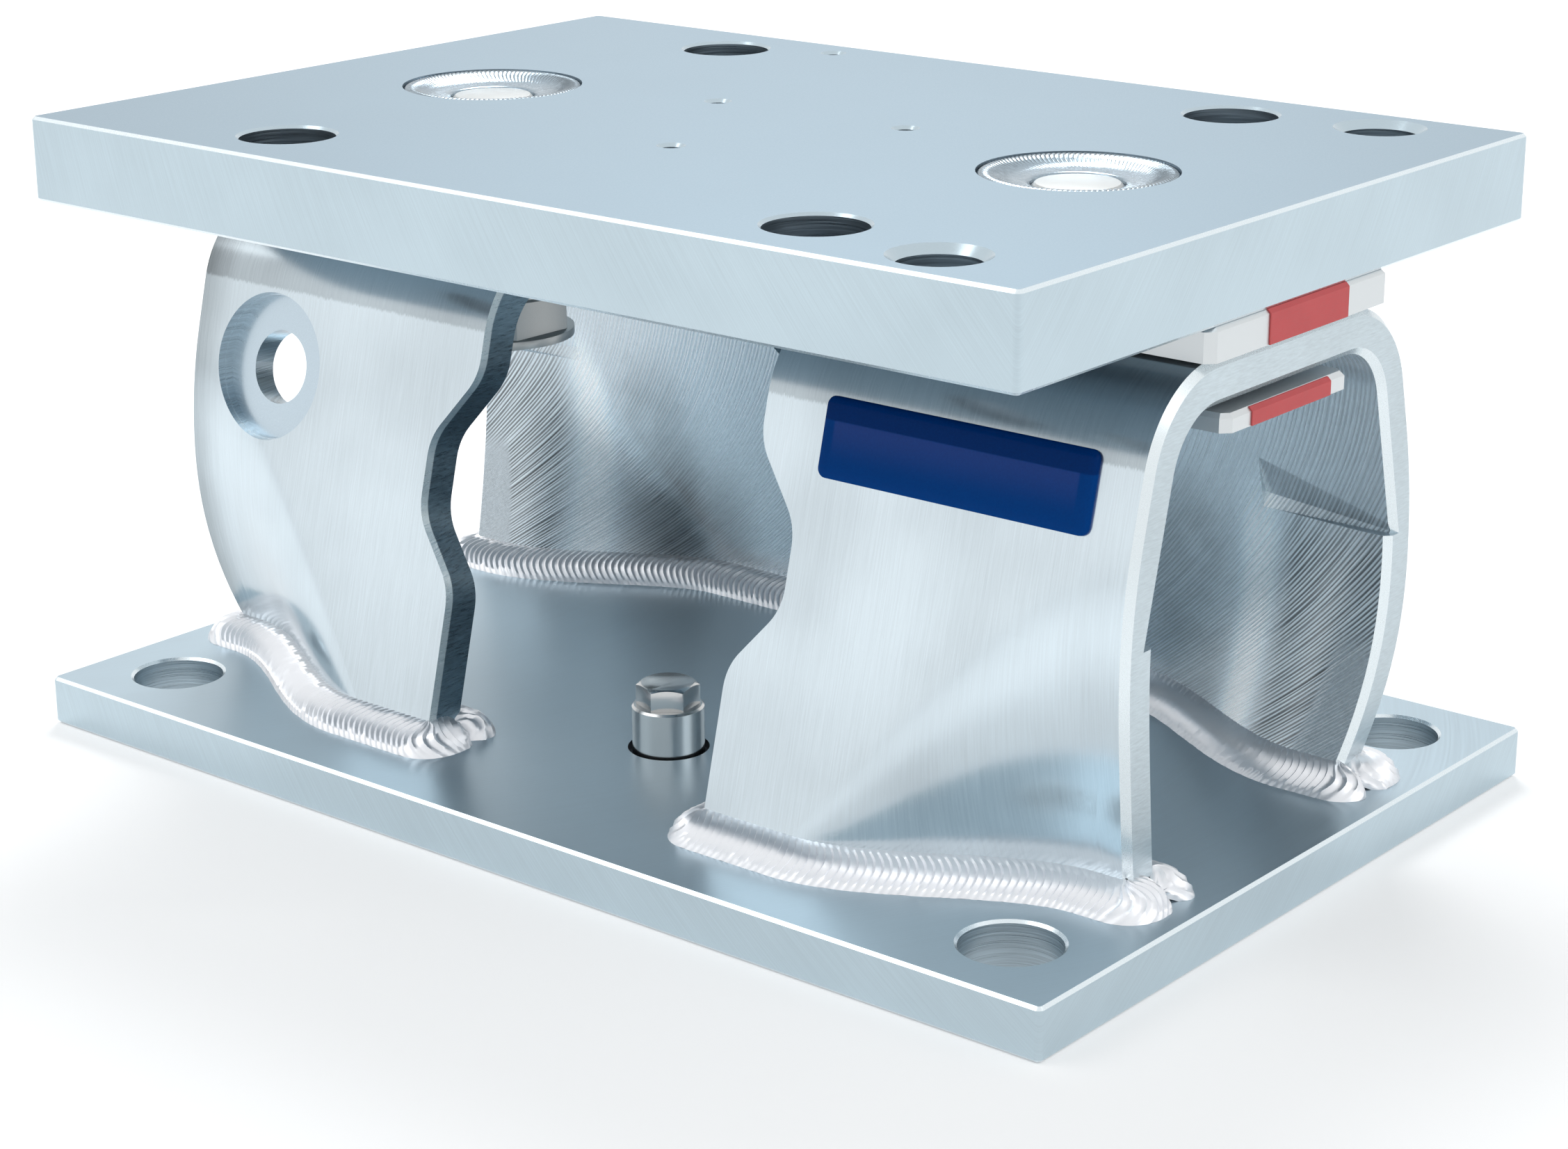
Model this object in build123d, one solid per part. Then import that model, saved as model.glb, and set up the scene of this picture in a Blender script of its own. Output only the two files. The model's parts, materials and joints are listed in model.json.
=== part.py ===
from build123d import *
from math import atan, cos, radians, sin, tan
import os

# Load cell weighing module: a base plate and a top plate joined by two press-formed plate hoops.
# Millimetres. Origin at the middle of the base plate's underside, X along the plates, Z up.

# Overall sizes of the plates
base_length = 300.0
base_thickness = 12.0
top_inset = 8.0
top_thickness = 20.0
plate_depth = 196.0
module_height = 153.0
plate_corner_radius = 1.5
plate_edge_chamfer = 0.7

# Bolt holes of the plates, set in from the plates' edges
plate_hole_radius = 11.0
plate_hole_rim = 0.65
base_hole_inset = 22.5
top_hole_inset = 65.0
hole_side_inset = 21.5

# Threaded jacking holes, the small tapped holes over the load cell, and the earthing hole
jack_hole_radius = 8.75
jack_hole_rim = 1.9
jack_hole_inset = 29.5
jack_hole_side_inset = 15.0
small_hole_radius = 2.5
small_hole_rim = 0.8
small_hole_circle = 32.5
small_hole_angles = (-90.0, 30.0, 150.0)
earth_hole_offset = 26.7
earth_hole_side_inset = 10.2

# Hoops: plate, bends and lean of the legs
hoop_thickness = 10.0
bend_radius = 15.0
leg_lean = 14.3
foot_reach = 74.5
hoop_inner_end = 42.5
hoop_outer_inset = 9.5
hoop_foot_inset = 14.6
foot_trim_share = 0.396
hoop_end_bevel = 1.6
hoop_end_flat = 0.5
back_leg_extra = 12.5
back_leg_bend = 8.0

# Folded outer corner of each leg, as shares of the hoop's height and of its length at foot and ledge
fold_height_share = 0.731
ledge_height_share = 0.511
fold_foot_shares = (0.212, 0.9185)
fold_ledge_shares = (0.653, 0.9745)
curl_radius = 118.3
lower_sections = 5
upper_sections = 3
leg_overrun = 4.0

# Waist cut into the inner edge of the front legs, its corners as shares of the hoop's height
waist_depth = 12.6
waist_shares = (0.325, 0.455, 0.61, 0.75)
waist_radius = 13.0

# Ledge that the forming tool leaves inside each leg, at the top of the fold
ledge_depth = 1.5
ledge_slope = 3.5
ledge_rise = 9.0
ledge_end_share = 0.15

# Counterbored hole in the front leg of the left hoop
leg_hole_inset = 28.1
leg_hole_drop = 36.7
leg_hole_radius = 9.0
leg_bore_radius = 18.0
leg_bore_depth = 4.2
leg_bore_step = 0.5

# Foot welds
weld_width = 9.0
weld_height = 6.3
weld_bulge = 1.3
weld_clearance = 0.2
weld_overrun = 5.0
weld_tip_share = 0.18
weld_stations = 20
end_weld_width = 7.5
end_weld_gap = 0.3

# Locking shims
upper_shim_thickness = 7.5
upper_shim_width = 70.0
upper_shim_offset = 3.0
upper_shim_overhang = 1.5
lower_shim_thickness = 4.0
lower_shim_width = 48.0
lower_shim_offset = 0.0
lower_shim_overhang = 0.8
shim_inset = 7.5
shim_slot_clearance = 5.0
shim_corner = 2.0
shim_edge_chamfer = 1.0
lift_gap = 2.2

# Tape on the outer ends of the shims
tape_thickness = 0.3
tape_clearance = 0.05
upper_tape_width = 31.0
upper_tape_offset = 5.0
lower_tape_width = 31.0
lower_tape_offset = 0.5

# Anti-lift bolts, their washers and plug welds
bolt_inset = 63.0
bolt_radius = 10.0
bolt_end_chamfer = 0.8
bolt_end_depth = 2.5
bolt_bore_clearance = 0.25
bolt_head_flats = 30.0
bolt_head_height = 12.7
bolt_head_turn = 32.0
bolt_collar_radius = 18.6
bolt_collar_thickness = 2.0
bolt_collar_rise = 1.2
washer_radius = 19.0
washer_thickness = 7.5
washer_chamfer = 1.0
hoop_bolt_hole_radius = 14.0
recess_radius = 22.0
recess_depth = 6.0
recess_clearance = 0.1
plug_crest_radius = 19.8
plug_crest_depth = 0.4
plug_valley_radius = 15.0

# Locating bolt and sleeve in the base plate
locator_x = 0.8
locator_y = -37.5
pit_radius = 9.6
pit_depth = 2.0
sleeve_radius = 8.5
sleeve_height = 10.7
sleeve_chamfer = 0.5
locating_bolt_radius = 4.0
locating_bolt_clearance = 0.25
locating_head_flats = 13.0
locating_head_height = 5.3
locating_head_turn = 39.6
locating_bolt_end = 1.0
head_crown_share = 0.95
head_crown_angle = 30.0

# Badge on the front leg of the right hoop
badge_length = 69.0
badge_height = 17.6
badge_offset = 2.5
badge_drop = 24.5
badge_thickness = 1.8
badge_corner = 2.0
badge_crown = 1.3

# Lengths and places that follow from the sizes above
top_length = base_length - 2 * top_inset
base_hole_x = base_length / 2 - base_hole_inset
top_hole_x = top_length / 2 - top_hole_inset
hole_y = plate_depth / 2 - hole_side_inset
jack_hole_x = top_length / 2 - jack_hole_inset
jack_hole_y = plate_depth / 2 - jack_hole_side_inset
earth_hole_x = earth_hole_offset - top_hole_x
earth_hole_y = plate_depth / 2 - earth_hole_side_inset
hoop_outer_end = base_length / 2 - hoop_outer_inset
hoop_foot_end = base_length / 2 - hoop_foot_inset
bolt_x = base_length / 2 - bolt_inset
leg_hole_x = hoop_outer_end - leg_hole_inset
badge_x = (hoop_inner_end + hoop_outer_end) / 2 + badge_offset
waist_edge = hoop_inner_end + waist_depth
back_leg_end = hoop_inner_end - back_leg_extra
upper_shim_end = hoop_outer_end + upper_shim_overhang
lower_shim_end = hoop_outer_end + lower_shim_overhang
shim_inner_end = hoop_inner_end + shim_inset

# Heights that follow from the sizes above
base_top = base_thickness
top_underside = module_height - top_thickness
hoop_top = top_underside - upper_shim_thickness
hoop_underside = hoop_top - hoop_thickness
lower_shim_top = hoop_underside - lift_gap
washer_top = lower_shim_top - lower_shim_thickness
head_top = washer_top - washer_thickness
bolt_end = module_height - bolt_end_depth
lean_slope = tan(radians(leg_lean))
leg_wall = hoop_thickness / cos(radians(leg_lean))
level_bevel = hoop_end_bevel / cos(radians(leg_lean))
sleeve_top = base_top + sleeve_height
pit_floor = base_top - pit_depth
hoop_rise = hoop_top - base_top
fold_height = base_top + fold_height_share * hoop_rise
ledge_height = base_top + ledge_height_share * hoop_rise
foot_trim_height = base_top + foot_trim_share * hoop_rise
waist_heights = [base_top + share * hoop_rise for share in waist_shares]
leg_hole_height = hoop_top - leg_hole_drop
badge_centre_height = hoop_top - badge_drop

# Steepest slope of a smooth S-bend, as a share of its mean slope
s_bend_steepness = 1.5

BOTTOM = (Align.CENTER, Align.CENTER, Align.MIN)


# Plates

def rim_hole(radius, rim, length):
    """Returns the cutter of a hole along +Z from 0 to length, with both mouths bevelled."""
    bore = Cylinder(radius, length, align=BOTTOM)
    lower_mouth = Cone(radius + rim, radius, rim, align=BOTTOM)
    upper_mouth = Pos(0, 0, length - rim) * Cone(radius, radius + rim, rim, align=BOTTOM)
    return bore + lower_mouth + upper_mouth


def plate_blank(length, thickness):
    """Returns a plate lying on Z=0 with rounded corners and bevelled rims."""
    outline = RectangleRounded(length, plate_depth, plate_corner_radius)
    blank = extrude(outline, thickness)
    rims = blank.faces().sort_by(Axis.Z)[0].edges() + blank.faces().sort_by(Axis.Z)[-1].edges()
    return chamfer(rims, plate_edge_chamfer)


def make_base_plate():
    """Returns the base plate with its bolt holes and the pit of the locating sleeve."""
    hole = rim_hole(plate_hole_radius, plate_hole_rim, base_thickness)
    holes = GridLocations(2 * base_hole_x, 2 * hole_y, 2, 2) * hole
    pit = Pos(locator_x, locator_y, pit_floor) * Cylinder(pit_radius, pit_depth, align=BOTTOM)
    bolt_bore = Pos(locator_x, locator_y, 0) * Cylinder(
        locating_bolt_radius + locating_bolt_clearance, base_thickness, align=BOTTOM
    )
    return plate_blank(base_length, base_thickness) - holes - pit - bolt_bore


def make_top_plate():
    """Returns the top plate with every hole and the two round recesses of the plug welds."""
    plate = plate_blank(top_length, top_thickness)
    bolt_hole = rim_hole(plate_hole_radius, plate_hole_rim, top_thickness)
    plate -= GridLocations(2 * top_hole_x, 2 * hole_y, 2, 2) * bolt_hole
    jack_hole = rim_hole(jack_hole_radius, jack_hole_rim, top_thickness)
    plate -= Locations((jack_hole_x, jack_hole_y), (jack_hole_x, -jack_hole_y)) * jack_hole
    small_hole = rim_hole(small_hole_radius, small_hole_rim, top_thickness)
    for angle in small_hole_angles:
        place = Pos(small_hole_circle * cos(radians(angle)), small_hole_circle * sin(radians(angle)))
        plate -= place * small_hole
    plate -= Pos(earth_hole_x, earth_hole_y) * small_hole
    recess = Pos(0, 0, top_thickness - recess_depth) * Cylinder(recess_radius, recess_depth, align=BOTTOM)
    bore = Cylinder(bolt_radius + bolt_bore_clearance, top_thickness, align=BOTTOM)
    plate -= Locations((bolt_x, 0), (-bolt_x, 0)) * (recess + bore)
    return Pos(0, 0, top_underside) * plate


# Shape of the legs: distance from the middle plane at a place along the hoop and a height

def straight_face(height):
    """Returns the outer face's distance from the middle plane where the leg isn't folded."""
    return foot_reach - (height - base_top) * lean_slope


def outer_end(height):
    """Returns where a leg ends along the hoop at a height: the feet are trimmed back in a curve."""
    below = max(foot_trim_height - height, 0.0) / (foot_trim_height - base_top)
    return hoop_outer_end - (hoop_outer_end - hoop_foot_end) * below * below


def fold_depth(height):
    """Returns how far the folded corner is pushed in: it curls in evenly from the fold's top."""
    below = fold_height - height
    return below * below / (2 * curl_radius)


def fold_span(height, inside):
    """Returns where the fold starts and ends along the hoop at a height."""
    share = (height - base_top) / (ledge_height - base_top)
    places = []
    for foot_share, ledge_share in zip(fold_foot_shares, fold_ledge_shares):
        foot_place = hoop_inner_end + foot_share * (hoop_foot_end - hoop_inner_end)
        ledge_place = hoop_inner_end + ledge_share * (hoop_outer_end - hoop_inner_end)
        places.append(foot_place + (ledge_place - foot_place) * share)
    start = places[0]
    finish = min(places[1], outer_end(height) - hoop_end_bevel - hoop_end_flat)
    steepest = atan(s_bend_steepness * fold_depth(height) / (finish - start))
    shift = leg_wall * tan(steepest / 2) if inside else 0.0
    return start - shift, finish - shift


def leg_face(along, height, inside):
    """Returns a leg face's distance from the middle plane, below the fold line."""
    start, finish = fold_span(height, inside)
    share = min(max((along - start) / (finish - start), 0.0), 1.0)
    pushed = fold_depth(height) * share * share * (3 - 2 * share)
    return straight_face(height) - pushed - (leg_wall if inside else 0.0)


# Hoops

def fold_line(height, inner_end, inside, pressed):
    """Returns a leg face's line at a height: straight, an S-bend, straight again, and a bevel."""
    start, finish = fold_span(height, inside)
    near = straight_face(height) - (leg_wall if inside else 0.0)
    far = near - (fold_depth(height) if pressed else 0.0)
    handle = (finish - start) / 3
    end = outer_end(height)
    bevelled = far + (level_bevel if inside else -level_bevel)
    straight = Line((inner_end, near), (start, near))
    bend = Bezier((start, near), (start + handle, near), (finish - handle, far), (finish, far))
    flat = Line((finish, far), (end - hoop_end_bevel, far))
    bevel = Line((end - hoop_end_bevel, far), (end, bevelled))
    return straight + bend + flat + bevel


def leg_section(height, inner_end, pressed):
    """Returns the level section of the back leg at a height; above the ledge its inside is flat."""
    outer = fold_line(height, inner_end, False, True)
    inner = fold_line(height, inner_end, True, pressed)
    closing = Line(outer @ 0, inner @ 0) + Line(outer @ 1, inner @ 1)
    return Pos(0, 0, height) * make_face(outer + inner + closing)


def leg_part(low, high, sections, inner_end, pressed):
    """Returns the part of the back leg between two heights."""
    heights = [high - (high - low) * i / (sections - 1) for i in range(sections)]
    return loft([leg_section(height, inner_end, pressed) for height in heights])


def make_leg(inner_end):
    """Returns the back leg up to the fold's top; the step between its parts is the ledge."""
    lower = leg_part(base_top, ledge_height, lower_sections, inner_end, True)
    upper = leg_part(ledge_height, fold_height, upper_sections, inner_end, False)
    return lower + upper


def arch_outline(low, high, top, radius):
    """Returns a half-open arch outline from the fold line up: two leaning sides and a flat top."""
    corners = [(-low, fold_height), (low, fold_height), (high, top), (-high, top)]
    outline = Polygon(*corners, align=None)
    return fillet(outline.vertices().group_by(Axis.Y)[-1], radius)


def make_arch():
    """Returns the upper part of a hoop: flat top, two bends and the legs down to the fold line."""
    low = straight_face(fold_height)
    outer = arch_outline(low, straight_face(hoop_top), hoop_top, bend_radius + hoop_thickness)
    inner_high = straight_face(hoop_underside) - leg_wall
    inner = arch_outline(low - leg_wall, inner_high, hoop_underside, bend_radius)
    profile = Plane.YZ.offset(hoop_inner_end) * (outer - inner)
    arch = extrude(profile, hoop_outer_end - hoop_inner_end)
    end_edges = arch.faces().sort_by(Axis.X)[-1].edges()
    rims = end_edges.filter_by(lambda edge: edge.bounding_box().max.Z > fold_height + hoop_end_bevel)
    return chamfer(rims, hoop_end_bevel)


def leg_plane(front):
    """Returns the plane of a leg's outer face, with its local Y up the slope from level zero."""
    side = -1 if front else 1
    outward = (0, side * cos(radians(leg_lean)), sin(radians(leg_lean)))
    return Plane(origin=(0, side * straight_face(0), 0), x_dir=(-side, 0, 0), z_dir=outward)


def on_leg(along, height, front):
    """Returns the local place on a leg's plane of a point along the hoop at a height."""
    return (along if front else -along, height / cos(radians(leg_lean)))


def make_waist(front):
    """Returns the cutter of the waist in the inner edge of one leg, square to its face."""
    low, waist_low, waist_high, high = waist_heights
    clear = hoop_inner_end - leg_overrun
    places = [
        (clear, low - waist_radius),
        (hoop_inner_end, low - waist_radius),
        (hoop_inner_end, low),
        (waist_edge, waist_low),
        (waist_edge, waist_high),
        (hoop_inner_end, high),
        (hoop_inner_end, high + waist_radius),
        (clear, high + waist_radius),
    ]
    corners = [on_leg(along, height, front) for along, height in places]
    bends = [0, waist_radius, waist_radius, waist_radius, waist_radius, 0]
    edge = FilletPolyline(*corners, radius=bends)
    outline = make_face(edge + Line(corners[-1], corners[0]))
    return extrude(leg_plane(front) * outline, 2 * hoop_thickness, both=True)


def make_back_shoulder():
    """Returns the cutter that rounds the upper corner of the back leg's wider inner side."""
    clear = back_leg_end - leg_overrun
    slope_foot = fold_height - back_leg_extra
    places = [
        (clear, slope_foot - back_leg_bend),
        (back_leg_end, slope_foot - back_leg_bend),
        (back_leg_end, slope_foot),
        (hoop_inner_end, fold_height),
        (hoop_inner_end, fold_height + leg_overrun),
        (clear, fold_height + leg_overrun),
    ]
    corners = [on_leg(along, height, False) for along, height in places]
    edge = FilletPolyline(*corners, radius=[0, back_leg_bend, 0, 0])
    outline = make_face(edge + Line(corners[-1], corners[0]))
    return extrude(leg_plane(False) * outline, 2 * hoop_thickness, both=True)


def ledge_section(along, share):
    """Returns the upright wedge that is pressed into the back leg's inner face over the ledge."""
    crest = ledge_height + ledge_slope * share
    roof = crest + ledge_rise * share
    face = straight_face(ledge_height) - leg_wall
    clear = face - hoop_thickness
    corners = [
        (clear, ledge_height),
        (face, ledge_height),
        (straight_face(crest) - leg_wall + ledge_depth * share, crest),
        (straight_face(roof) - leg_wall, roof),
        (clear, roof),
    ]
    return Plane.YZ.offset(along) * Polygon(*corners, align=None)


def make_hoop():
    """Returns the right-hand hoop: arch, folded legs, front waist, ledges and bolt hole."""
    ledge_start = fold_span(ledge_height, False)[0]
    ledge_ends = [ledge_section(ledge_start, 1.0), ledge_section(hoop_outer_end, ledge_end_share)]
    ledge = loft(ledge_ends, ruled=True)
    hoop = make_arch() + make_leg(back_leg_end) + mirror(make_leg(hoop_inner_end), Plane.XZ)
    hoop -= [ledge, mirror(ledge, Plane.XZ), make_waist(True), make_back_shoulder()]
    bolt_hole = Cylinder(hoop_bolt_hole_radius, hoop_thickness, align=BOTTOM)
    return hoop - Pos(bolt_x, 0, hoop_underside) * bolt_hole


def make_leg_bore():
    """Returns the cutter of the counterbored hole in a right-hand hoop's front leg."""
    hole = Cylinder(leg_hole_radius, 3 * hoop_thickness)
    step = Cylinder(leg_bore_radius - leg_bore_step, hoop_thickness, align=BOTTOM)
    mouth = Cylinder(leg_bore_radius, hoop_thickness, align=BOTTOM)
    bore = Pos(0, 0, -leg_bore_depth) * step + Pos(0, 0, -leg_bore_depth / 2) * mouth
    return leg_plane(True) * Pos(*on_leg(leg_hole_x, leg_hole_height, True)) * (hole + bore)


# Foot welds

def weld_section(along, inner_end, inside):
    """Returns the upright section of a foot weld on the back leg at a place along the hoop."""
    side = -1 if inside else 1
    spare = max(inner_end - along, along - hoop_foot_end, 0.0) if inside else 0.0
    size = 1 - (1 - weld_tip_share) * spare / weld_overrun
    peak = base_top + weld_height * size
    root = leg_face(along, base_top, inside) + side * weld_clearance
    crown = leg_face(along, peak, inside) + side * weld_clearance
    toe = root + side * weld_width * size
    bulge = weld_bulge * size
    corners = [(root, base_top), (toe, base_top), (crown, peak)]
    for share in (1 / 3, 2 / 3):
        out = toe + (crown - toe) * share + side * bulge
        up = base_top + (peak - base_top) * share + bulge
        corners.insert(-1, (out, up))
    return Plane.YZ.offset(along) * Polygon(*corners, align=None)


def end_bead(along, reach, inner_reach, side):
    """Returns the bead round a leg's end: a quarter turn at its corner and a run across the end.

    side is 1 at the outer end of the hoop and -1 at the inner end.
    """
    corners = [(0, 0), (end_weld_width, 0), (0, weld_height)]
    for share in (1 / 3, 2 / 3):
        out = end_weld_width * (1 - share) + weld_bulge
        corners.insert(-1, (out, weld_height * share + weld_bulge))
    outline = Polygon(*corners, align=None)
    size = 2 * end_weld_width
    quarter = Box(size, size, size, align=(Align.MIN, Align.MIN, Align.MIN))
    bead = (turned(outline) & quarter) + extrude(Plane.XZ * outline, reach - inner_reach)
    return Pos(along, reach, base_top) * (bead if side > 0 else mirror(bead, Plane.YZ))


def make_outer_weld(inner_end):
    """Returns the foot weld on the outer side of the back leg, which turns round both its ends."""
    peak = base_top + weld_height
    near_end = inner_end - weld_clearance
    far_end = outer_end(peak) + weld_clearance
    pitch = (far_end - near_end) / (weld_stations - 1)
    places = [near_end + pitch * i for i in range(weld_stations)]
    bead = loft([weld_section(along, inner_end, False) for along in places], ruled=True)
    near_reach = leg_face(near_end, base_top, False) + weld_clearance
    near_inner = leg_face(near_end, base_top, True) + end_weld_gap
    far_reach = leg_face(far_end, peak, False) + weld_clearance
    far_inner = leg_face(far_end, peak, True) + end_weld_gap
    bead += end_bead(near_end, near_reach, near_inner, -1)
    return bead + end_bead(far_end, far_reach, far_inner, 1)


def make_inner_weld(inner_end):
    """Returns the foot weld on the inner side of the back leg, with a pointed tip at each end."""
    pitch = (hoop_foot_end - inner_end) / (weld_stations - 1)
    places = [inner_end + pitch * i for i in range(weld_stations)]
    places = [inner_end - weld_overrun] + places + [hoop_foot_end + weld_overrun]
    return loft([weld_section(along, inner_end, True) for along in places], ruled=True)


# Shims and tape

def make_shim(end, width, offset, thickness, bottom):
    """Returns a locking shim whose slot is open towards the middle of the module."""
    length = end - shim_inner_end
    blank = extrude(Rectangle(length, width), thickness)
    blank = chamfer(blank.edges().filter_by(Axis.Z), shim_corner)
    blank = chamfer(blank.faces().sort_by(Axis.Z)[-1].edges(), shim_edge_chamfer)
    shim = Pos((end + shim_inner_end) / 2, offset, bottom) * blank
    radius = bolt_radius + shim_slot_clearance
    slot_end = Cylinder(radius, thickness, align=BOTTOM)
    slot_sides = Box(length, 2 * radius, thickness, align=(Align.MAX, Align.CENTER, Align.MIN))
    return shim - Pos(bolt_x, offset, bottom) * (slot_end + slot_sides)


def make_tape(end, width, offset, thickness, bottom):
    """Returns the tape that is stuck over a shim's outer end and its bevelled upper edge."""
    inner = end + tape_clearance
    top = bottom + thickness - tape_clearance
    bevel_foot = bottom + thickness - shim_edge_chamfer
    bevel_run = shim_edge_chamfer - tape_clearance
    corners = [
        (inner, bottom + tape_clearance),
        (inner + tape_thickness, bottom + tape_clearance),
        (inner + tape_thickness, bevel_foot + tape_thickness * tan(radians(22.5))),
        (inner - bevel_run + tape_thickness / cos(radians(45)), top),
        (inner - bevel_run, top),
        (inner, bevel_foot),
    ]
    profile = Plane.XZ * Polygon(*corners, align=None)
    return Pos(0, offset, 0) * extrude(profile, width / 2, both=True)


# Anti-lift bolts, washers, plug welds, locating bolt and badge

def turned(outline):
    """Returns the solid turned about Z from a half outline of radii and heights."""
    return revolve(Plane.XZ * outline, Axis.Z)


def hex_head(flats, height):
    """Returns a hexagon head that stands on Z=0, with the corners of its free face bevelled."""
    corner = flats / 2 / cos(radians(30))
    crown = head_crown_share * flats / 2
    drop = (flats - crown) * tan(radians(head_crown_angle))
    envelope = Polygon((0, 0), (flats, 0), (flats, height - drop), (crown, height), (0, height), align=None)
    return extrude(RegularPolygon(corner, 6), height) & turned(envelope)


def make_antilift_bolt():
    """Returns the right-hand anti-lift bolt, head down, up to its welded end in the top plate."""
    head = Rot(180, 0, 0) * Rot(0, 0, -bolt_head_turn) * hex_head(bolt_head_flats, bolt_head_height)
    collar = Pos(0, 0, bolt_collar_rise - bolt_head_height) * Cylinder(
        bolt_collar_radius, bolt_collar_thickness, align=BOTTOM
    )
    shank = Cylinder(bolt_radius, bolt_end - head_top, align=BOTTOM)
    shank = chamfer(shank.faces().sort_by(Axis.Z)[-1].edges(), bolt_end_chamfer)
    return Pos(bolt_x, 0, head_top) * (head + collar + shank)


def make_antilift_washer():
    """Returns the thick washer between the right-hand bolt's head and the lower shim."""
    disc = Cylinder(washer_radius, washer_thickness, align=BOTTOM)
    disc = chamfer(disc.edges().filter_by(GeomType.CIRCLE), washer_chamfer)
    bore = Cylinder(bolt_radius + bolt_bore_clearance, washer_thickness, align=BOTTOM)
    return Pos(bolt_x, 0, head_top) * (disc - bore)


def make_plug_weld():
    """Returns the ring of weld that fills the right-hand recess round the bolt's end."""
    inner = bolt_radius + bolt_bore_clearance
    outer = recess_radius - recess_clearance
    floor = module_height - recess_depth
    corners = [
        (outer, module_height - 2 * plug_crest_depth),
        (plug_crest_radius, module_height - plug_crest_depth),
        (plug_valley_radius, bolt_end),
        (inner, bolt_end),
        (inner, floor),
        (outer, floor),
    ]
    return Pos(bolt_x, 0, 0) * turned(Polygon(*corners, align=None))


def make_locating_sleeve():
    """Returns the round sleeve that stands in the pit of the base plate."""
    tube = Cylinder(sleeve_radius, sleeve_top - pit_floor, align=BOTTOM)
    tube = chamfer(tube.faces().sort_by(Axis.Z)[-1].edges(), sleeve_chamfer)
    bore = Cylinder(locating_bolt_radius + locating_bolt_clearance, sleeve_top - pit_floor, align=BOTTOM)
    return Pos(locator_x, locator_y, pit_floor) * (tube - bore)


def make_locating_bolt():
    """Returns the hexagon bolt that holds the sleeve down on the base plate."""
    head = Rot(0, 0, locating_head_turn) * hex_head(locating_head_flats, locating_head_height)
    shank = Pos(0, 0, locating_bolt_end) * Cylinder(
        locating_bolt_radius, sleeve_top - locating_bolt_end, align=BOTTOM
    )
    return Pos(locator_x, locator_y, 0) * (shank + Pos(0, 0, sleeve_top) * head)


def make_badge():
    """Returns the blank domed badge on the right hoop's front leg."""
    plaque = extrude(RectangleRounded(badge_length, badge_height, badge_corner), badge_thickness)
    plaque = fillet(plaque.faces().sort_by(Axis.Z)[-1].edges(), badge_crown)
    return leg_plane(True) * Pos(*on_leg(badge_x, badge_centre_height, True)) * plaque


# Pieces of the whole module, each made on the right and mirrored to the left

def to_left(piece):
    """Returns the left-hand twin of a right-hand piece."""
    return mirror(piece, Plane.YZ)


right_hoop = make_hoop()
upper_seat = (upper_shim_thickness, hoop_top)
lower_seat = (lower_shim_thickness, washer_top)
parts = {
    "base_plate": make_base_plate(),
    "top_plate": make_top_plate(),
    "right_hoop": right_hoop,
    "left_hoop": to_left(right_hoop - make_leg_bore()),
    "locating_sleeve": make_locating_sleeve(),
    "locating_bolt": make_locating_bolt(),
    "badge": make_badge(),
}
sided_pieces = {
    "antilift_bolt": make_antilift_bolt(),
    "antilift_washer": make_antilift_washer(),
    "plug_weld": make_plug_weld(),
    "upper_shim": make_shim(upper_shim_end, upper_shim_width, upper_shim_offset, *upper_seat),
    "lower_shim": make_shim(lower_shim_end, lower_shim_width, lower_shim_offset, *lower_seat),
    "upper_tape": make_tape(upper_shim_end, upper_tape_width, upper_tape_offset, *upper_seat),
    "lower_tape": make_tape(lower_shim_end, lower_tape_width, lower_tape_offset, *lower_seat),
}
for name, piece in sided_pieces.items():
    parts["right_" + name] = piece
    parts["left_" + name] = to_left(piece)
for face, make_weld in (("outer", make_outer_weld), ("inner", make_inner_weld)):
    back_weld = make_weld(back_leg_end)
    short_weld = make_weld(hoop_inner_end)
    parts["right_back_" + face + "_weld"] = back_weld
    parts["left_back_" + face + "_weld"] = to_left(back_weld)
    parts["right_front_" + face + "_weld"] = mirror(short_weld, Plane.XZ)
    parts["left_front_" + face + "_weld"] = Rot(0, 0, 180) * short_weld

os.makedirs("parts", exist_ok=True)
for name, piece in parts.items():
    export_step(piece, "parts/" + name + ".step")
    print(name, "solids", len(piece.solids()), "volume", round(piece.volume))
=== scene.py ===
"""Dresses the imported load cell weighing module: beads, threads, badge, finishes, light, camera."""
import json
import logging
import math
from dataclasses import dataclass, field
from enum import Enum
from typing import Any, Callable

import bpy
from mathutils import Matrix, Vector

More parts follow.
